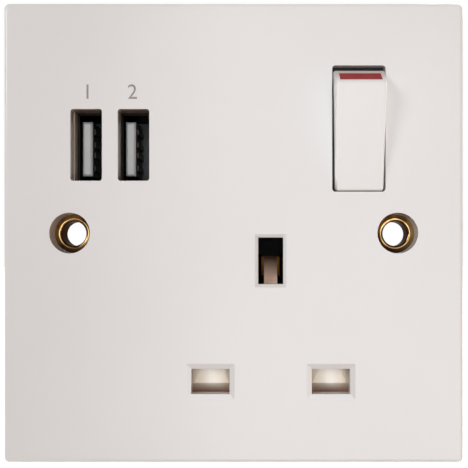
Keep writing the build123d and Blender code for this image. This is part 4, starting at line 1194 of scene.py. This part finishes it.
@dataclass
class ChargingPorts:
    """The two ports and the charger board behind them."""

    chip_legs: int = 3
    bridge_legs: int = 2
    leg_pitch: float = 1.27
    leg_reach: float = 0.95
    leg_wire: float = 0.2
    joint_foot: float = 0.8
    joint_tip: float = 0.3
    joint_height: float = 0.8
    joint_inset: float = 1.1
    joint_pitch: float = 2.6

    def legs(self, dresser: Dresser, name: str, count: int) -> None:
        """Give a package its two rows of legs.

        Args:
            dresser: makes the finishes.
            name: the package's node.
            count: how many legs each row has.
        """
        low, high = box_of(name)
        middle = (low + high) / 2
        drop = box_of("usb_board")[0].y - middle.y - self.leg_wire
        heights = [middle.z + (leg - (count - 1) / 2) * self.leg_pitch for leg in range(count)]
        tree = LegTree()
        for side, edge, turn in ((Side.LEFT, low.x, (90.0, 180.0, 0.0)),
                                 (Side.RIGHT, high.x, (90.0, 0.0, 0.0))):
            places = [(edge, middle.y, height) for height in heights]
            mesh = tree.mesh(f"{name}_legs_{side.value}", places, turn, dresser.material(STEEL),
                             Reach=self.leg_reach, Drop=drop, Wire=self.leg_wire)
            dresser.piece(mesh, STEEL, "base", "plated_steel")

    def joints(self, dresser: Dresser) -> None:
        """Solder the transformer's pins on the board's front.

        Args:
            dresser: makes the finishes.
        """
        low, high = box_of("transformer_core")
        front = box_of("usb_board")[0].y
        middle = (low.z + high.z) / 2
        places = [(column, front, middle + row * self.joint_pitch)
                  for column in (low.x + self.joint_inset, high.x - self.joint_inset)
                  for row in (-1, 0, 1)]
        mesh = JointTree().mesh("solder_joints", places, (90.0, 0.0, 0.0),
                                dresser.material(SILVER), Foot=self.joint_foot,
                                Tip=self.joint_tip, Height=self.joint_height)
        dresser.piece(mesh, SILVER, "base", "silver_tip")

    def build(self, dresser: Dresser) -> None:
        """Dress the ports and the board's pieces.

        Args:
            dresser: makes the finishes.
        """
        self.legs(dresser, "controller_chip", self.chip_legs)
        self.legs(dresser, "bridge_rectifier", self.bridge_legs)
        self.joints(dresser)
        for side in Side:
            dresser.nodes(SHELL_PAINTED_SHADE, "port_shell_" + side.value)
            dresser.nodes(PALE, "port_insulator_" + side.value)
            dresser.nodes(GILT_PAINTED_SHADE, "port_contacts_" + side.value)
        dresser.nodes(BOARD, "usb_board")
        dresser.nodes(FERRITE, "transformer_core")
        dresser.nodes(TAPE, "transformer_winding")
        dresser.nodes(SLEEVE, "bulk_capacitors", "output_capacitors")
        dresser.nodes(PACKAGE, "controller_chip", "bridge_rectifier")
        dresser.nodes(CERAMIC, "board_fuse")
        dresser.nodes(BROWN_LEAD, "line_lead")
        dresser.nodes(BLUE_LEAD, "neutral_lead")


@dataclass
class RearHousing:
    """The dark rear moulding, its screws and the letters at the terminals."""

    mark: FlatMark = FlatMark(height=3.2, thick=0.06, face=Face.REAR)
    mark_gap: float = 7.0
    shroud_rise: float = 0.8
    screw_radius: float = 1.45
    threads: ScrewThreads = ScrewThreads("housing_threads", "housing_screws", pitch=1.1,
                                         ridge=0.2, run=7.5, lift=0.4)

    def marks(self, dresser: Dresser) -> None:
        """Raise a letter beside each terminal.

        Args:
            dresser: makes the finishes.
        """
        rear = box_of("rear_housing")[1].y - self.shroud_rise
        for letter, name, gap in (("L", "line_terminal", -self.mark_gap),
                                  ("N", "neutral_terminal", self.mark_gap),
                                  ("E", "earth_terminal", self.mark_gap)):
            low, high = box_of(name)
            place = ((low.x + high.x) / 2 + gap, rear, (low.z + high.z - self.mark.height) / 2)
            mesh = self.mark.mesh(name + "_mark", letter, place)
            dresser.piece(mesh, WHITE_INNER, "base", "white_inner_moulding")

    def build(self, dresser: Dresser) -> None:
        """Dress the housing and its screws.

        Args:
            dresser: makes the finishes.
        """
        self.marks(dresser)
        self.threads.build(dresser, self.screw_radius)
        dresser.nodes(DARK, "rear_housing")
        dresser.nodes(STEEL, "housing_screws")


@dataclass(frozen=True)
class Lamp:
    """A soft square light that points at the object, with its power in watts."""

    name: str
    place: Point
    size: float
    power: float
    colour: Colour

    def build(self, scene: bpy.types.Scene) -> None:
        """Add the light.

        Args:
            scene: the scene that it belongs to.
        """
        data = bpy.data.lights.new(self.name, "AREA")
        data.size = self.size * MM
        data.energy = self.power
        data.color = self.colour
        light = bpy.data.objects.new(self.name, data)
        light.location = Vector(self.place) * MM
        light.rotation_euler = (-Vector(self.place)).to_track_quat("-Z", "Y").to_euler()
        light.visible_camera = False
        scene.collection.objects.link(light)


@dataclass(frozen=True)
class Room:
    """The room that lights the object, and the white backdrop that only the camera sees.

    The spans are parts of a direction: X to the right, and depth from 0 in front to 1 behind.
    """

    light: float = 3.3
    backdrop: float = 1.0
    dim_side: Span = (-0.32, -0.06)
    dim_share: float = 0.03
    dim_depth: Span = (0.06, 0.12)
    glow_lean: Span = (-1.2, 1.2)
    glow_share: Span = (0.35, 1.8)

    def tones(self, steps: NodeSteps, depth: Socket) -> Socket:
        """Choose the room's colour by depth.

        Args:
            steps: the world's tree.
            depth: the depth's socket.
        Returns:
            The colour's socket.
        """
        node = steps.nodes.new("ShaderNodeValToRGB")
        elements = node.color_ramp.elements
        while len(elements) < len(ROOM_TONES):
            elements.new(0.5)
        for element, (place, tone) in zip(elements, ROOM_TONES):
            element.position = place
            element.color = (*tone, 1.0)
        steps.fill(node, Fac=depth)
        return node.outputs["Color"]

    def strength(self, steps: NodeSteps, side: Socket, depth: Socket, height: Socket) -> Socket:
        """Choose the room's strength: the front is dim at its left, the rest at its upper left.

        Args:
            steps: the world's tree.
            side: the direction's X.
            depth: the depth's socket.
            height: the direction's Z.
        Returns:
            The strength's socket.
        """
        front = steps.remap(side, self.dim_side, (self.light * self.dim_share, self.light))
        behind = steps.remap(depth, self.dim_depth, (0.0, self.light))
        lean = steps.compute("SUBTRACT", side, height)
        glow = steps.compute("MULTIPLY", behind, steps.remap(lean, self.glow_lean, self.glow_share))
        return steps.compute("MAXIMUM", front, glow)

    def build(self, scene: bpy.types.Scene) -> None:
        """Put the room round the scene.

        Args:
            scene: the scene that it belongs to.
        """
        world = bpy.data.worlds.new("room")
        world.use_nodes = True
        steps = NodeSteps(world.node_tree)
        nodes = steps.nodes
        side, ahead, height = steps.parts(nodes.new("ShaderNodeTexCoord").outputs["Generated"])
        depth = steps.remap(ahead, (-1.0, 1.0))
        walls = nodes["Background"]
        steps.fill(walls, Color=self.tones(steps, depth),
                   Strength=self.strength(steps, side, depth, height))
        white = steps.step("ShaderNodeBackground", Color=(1.0, 1.0, 1.0, 1.0),
                           Strength=self.backdrop)
        seen = nodes.new("ShaderNodeLightPath").outputs["Is Camera Ray"]
        choice = nodes.new("ShaderNodeMixShader")
        for socket, value in zip(choice.inputs, (seen, walls.outputs["Background"], white)):
            steps.feed(socket, value)
        steps.fill(nodes["World Output"], Surface=choice.outputs["Shader"])
        scene.world = world


@dataclass
class Studio:
    """The floor, the lights and the camera, which stands where the photograph was taken from."""

    eye: Point = (6.25, -139.0, -4.3)
    lens: float = 54.45
    sensor: float = 36.0
    shift_x: float = -0.072
    shift_y: float = 0.048
    floor_clear: float = 0.05
    floor_reach: float = 2500.0
    room: Room = Room()
    lamps: tuple[Lamp, ...] = (
        Lamp("key_light", (-1500.0, -1500.0, 700.0), 900.0, 19.0, (1.0, 1.0, 1.0)),
        Lamp("fill_light", (170.0, -230.0, -110.0), 120.0, 0.13, (1.0, 0.82, 0.66)),
        Lamp("rear_light", (360.0, 620.0, 420.0), 300.0, 3.0, (1.0, 0.99, 0.98)))

    def build(self) -> None:
        """Set up everything that isn't part of the object."""
        scene = bpy.context.scene
        scene.view_settings.view_transform = "Standard"
        self.camera(scene)
        self.floor(scene)
        self.room.build(scene)
        for lamp in self.lamps:
            lamp.build(scene)

    def camera(self, scene: bpy.types.Scene) -> None:
        """Place the camera.

        Args:
            scene: the scene that it belongs to.
        """
        data = bpy.data.cameras.new("camera")
        data.lens = self.lens
        data.sensor_width = self.sensor
        data.shift_x = self.shift_x
        data.shift_y = self.shift_y
        data.clip_start = MM
        camera = bpy.data.objects.new("camera", data)
        camera.location = Vector(self.eye) * MM
        camera.rotation_euler = (math.radians(90.0), 0.0, 0.0)
        scene.collection.objects.link(camera)
        scene.camera = camera

    def floor(self, scene: bpy.types.Scene) -> None:
        """Lay the pale floor that the object stands on.

        Args:
            scene: the scene that it belongs to.
        """
        level = CAD_BOX[0].z / MM - self.floor_clear
        corners = ((-1, -1), (1, -1), (1, 1), (-1, 1))
        reach = self.floor_reach
        mesh = bpy.data.meshes.new("floor")
        places = [Vector((x * reach, y * reach, level)) * MM for x, y in corners]
        mesh.from_pydata(places, [], [(0, 1, 2, 3)])
        mesh.materials.append(PAPER.material())
        floor = bpy.data.objects.new("floor", mesh)
        scene.collection.objects.link(floor)
        floor.visible_diffuse = False
        floor.visible_glossy = False


def main() -> None:
    """Build the sub-assemblies in order, then the studio."""
    logging.basicConfig(level=logging.INFO, format="%(message)s")
    dresser = Dresser()
    for assembly in (FrontPlate(), FixingEyelets(), RockerSwitch(), PinSocket(), ChargingPorts(),
                     RearHousing()):
        assembly.build(dresser)
    Studio().build()


if __name__ == "__main__":
    main()
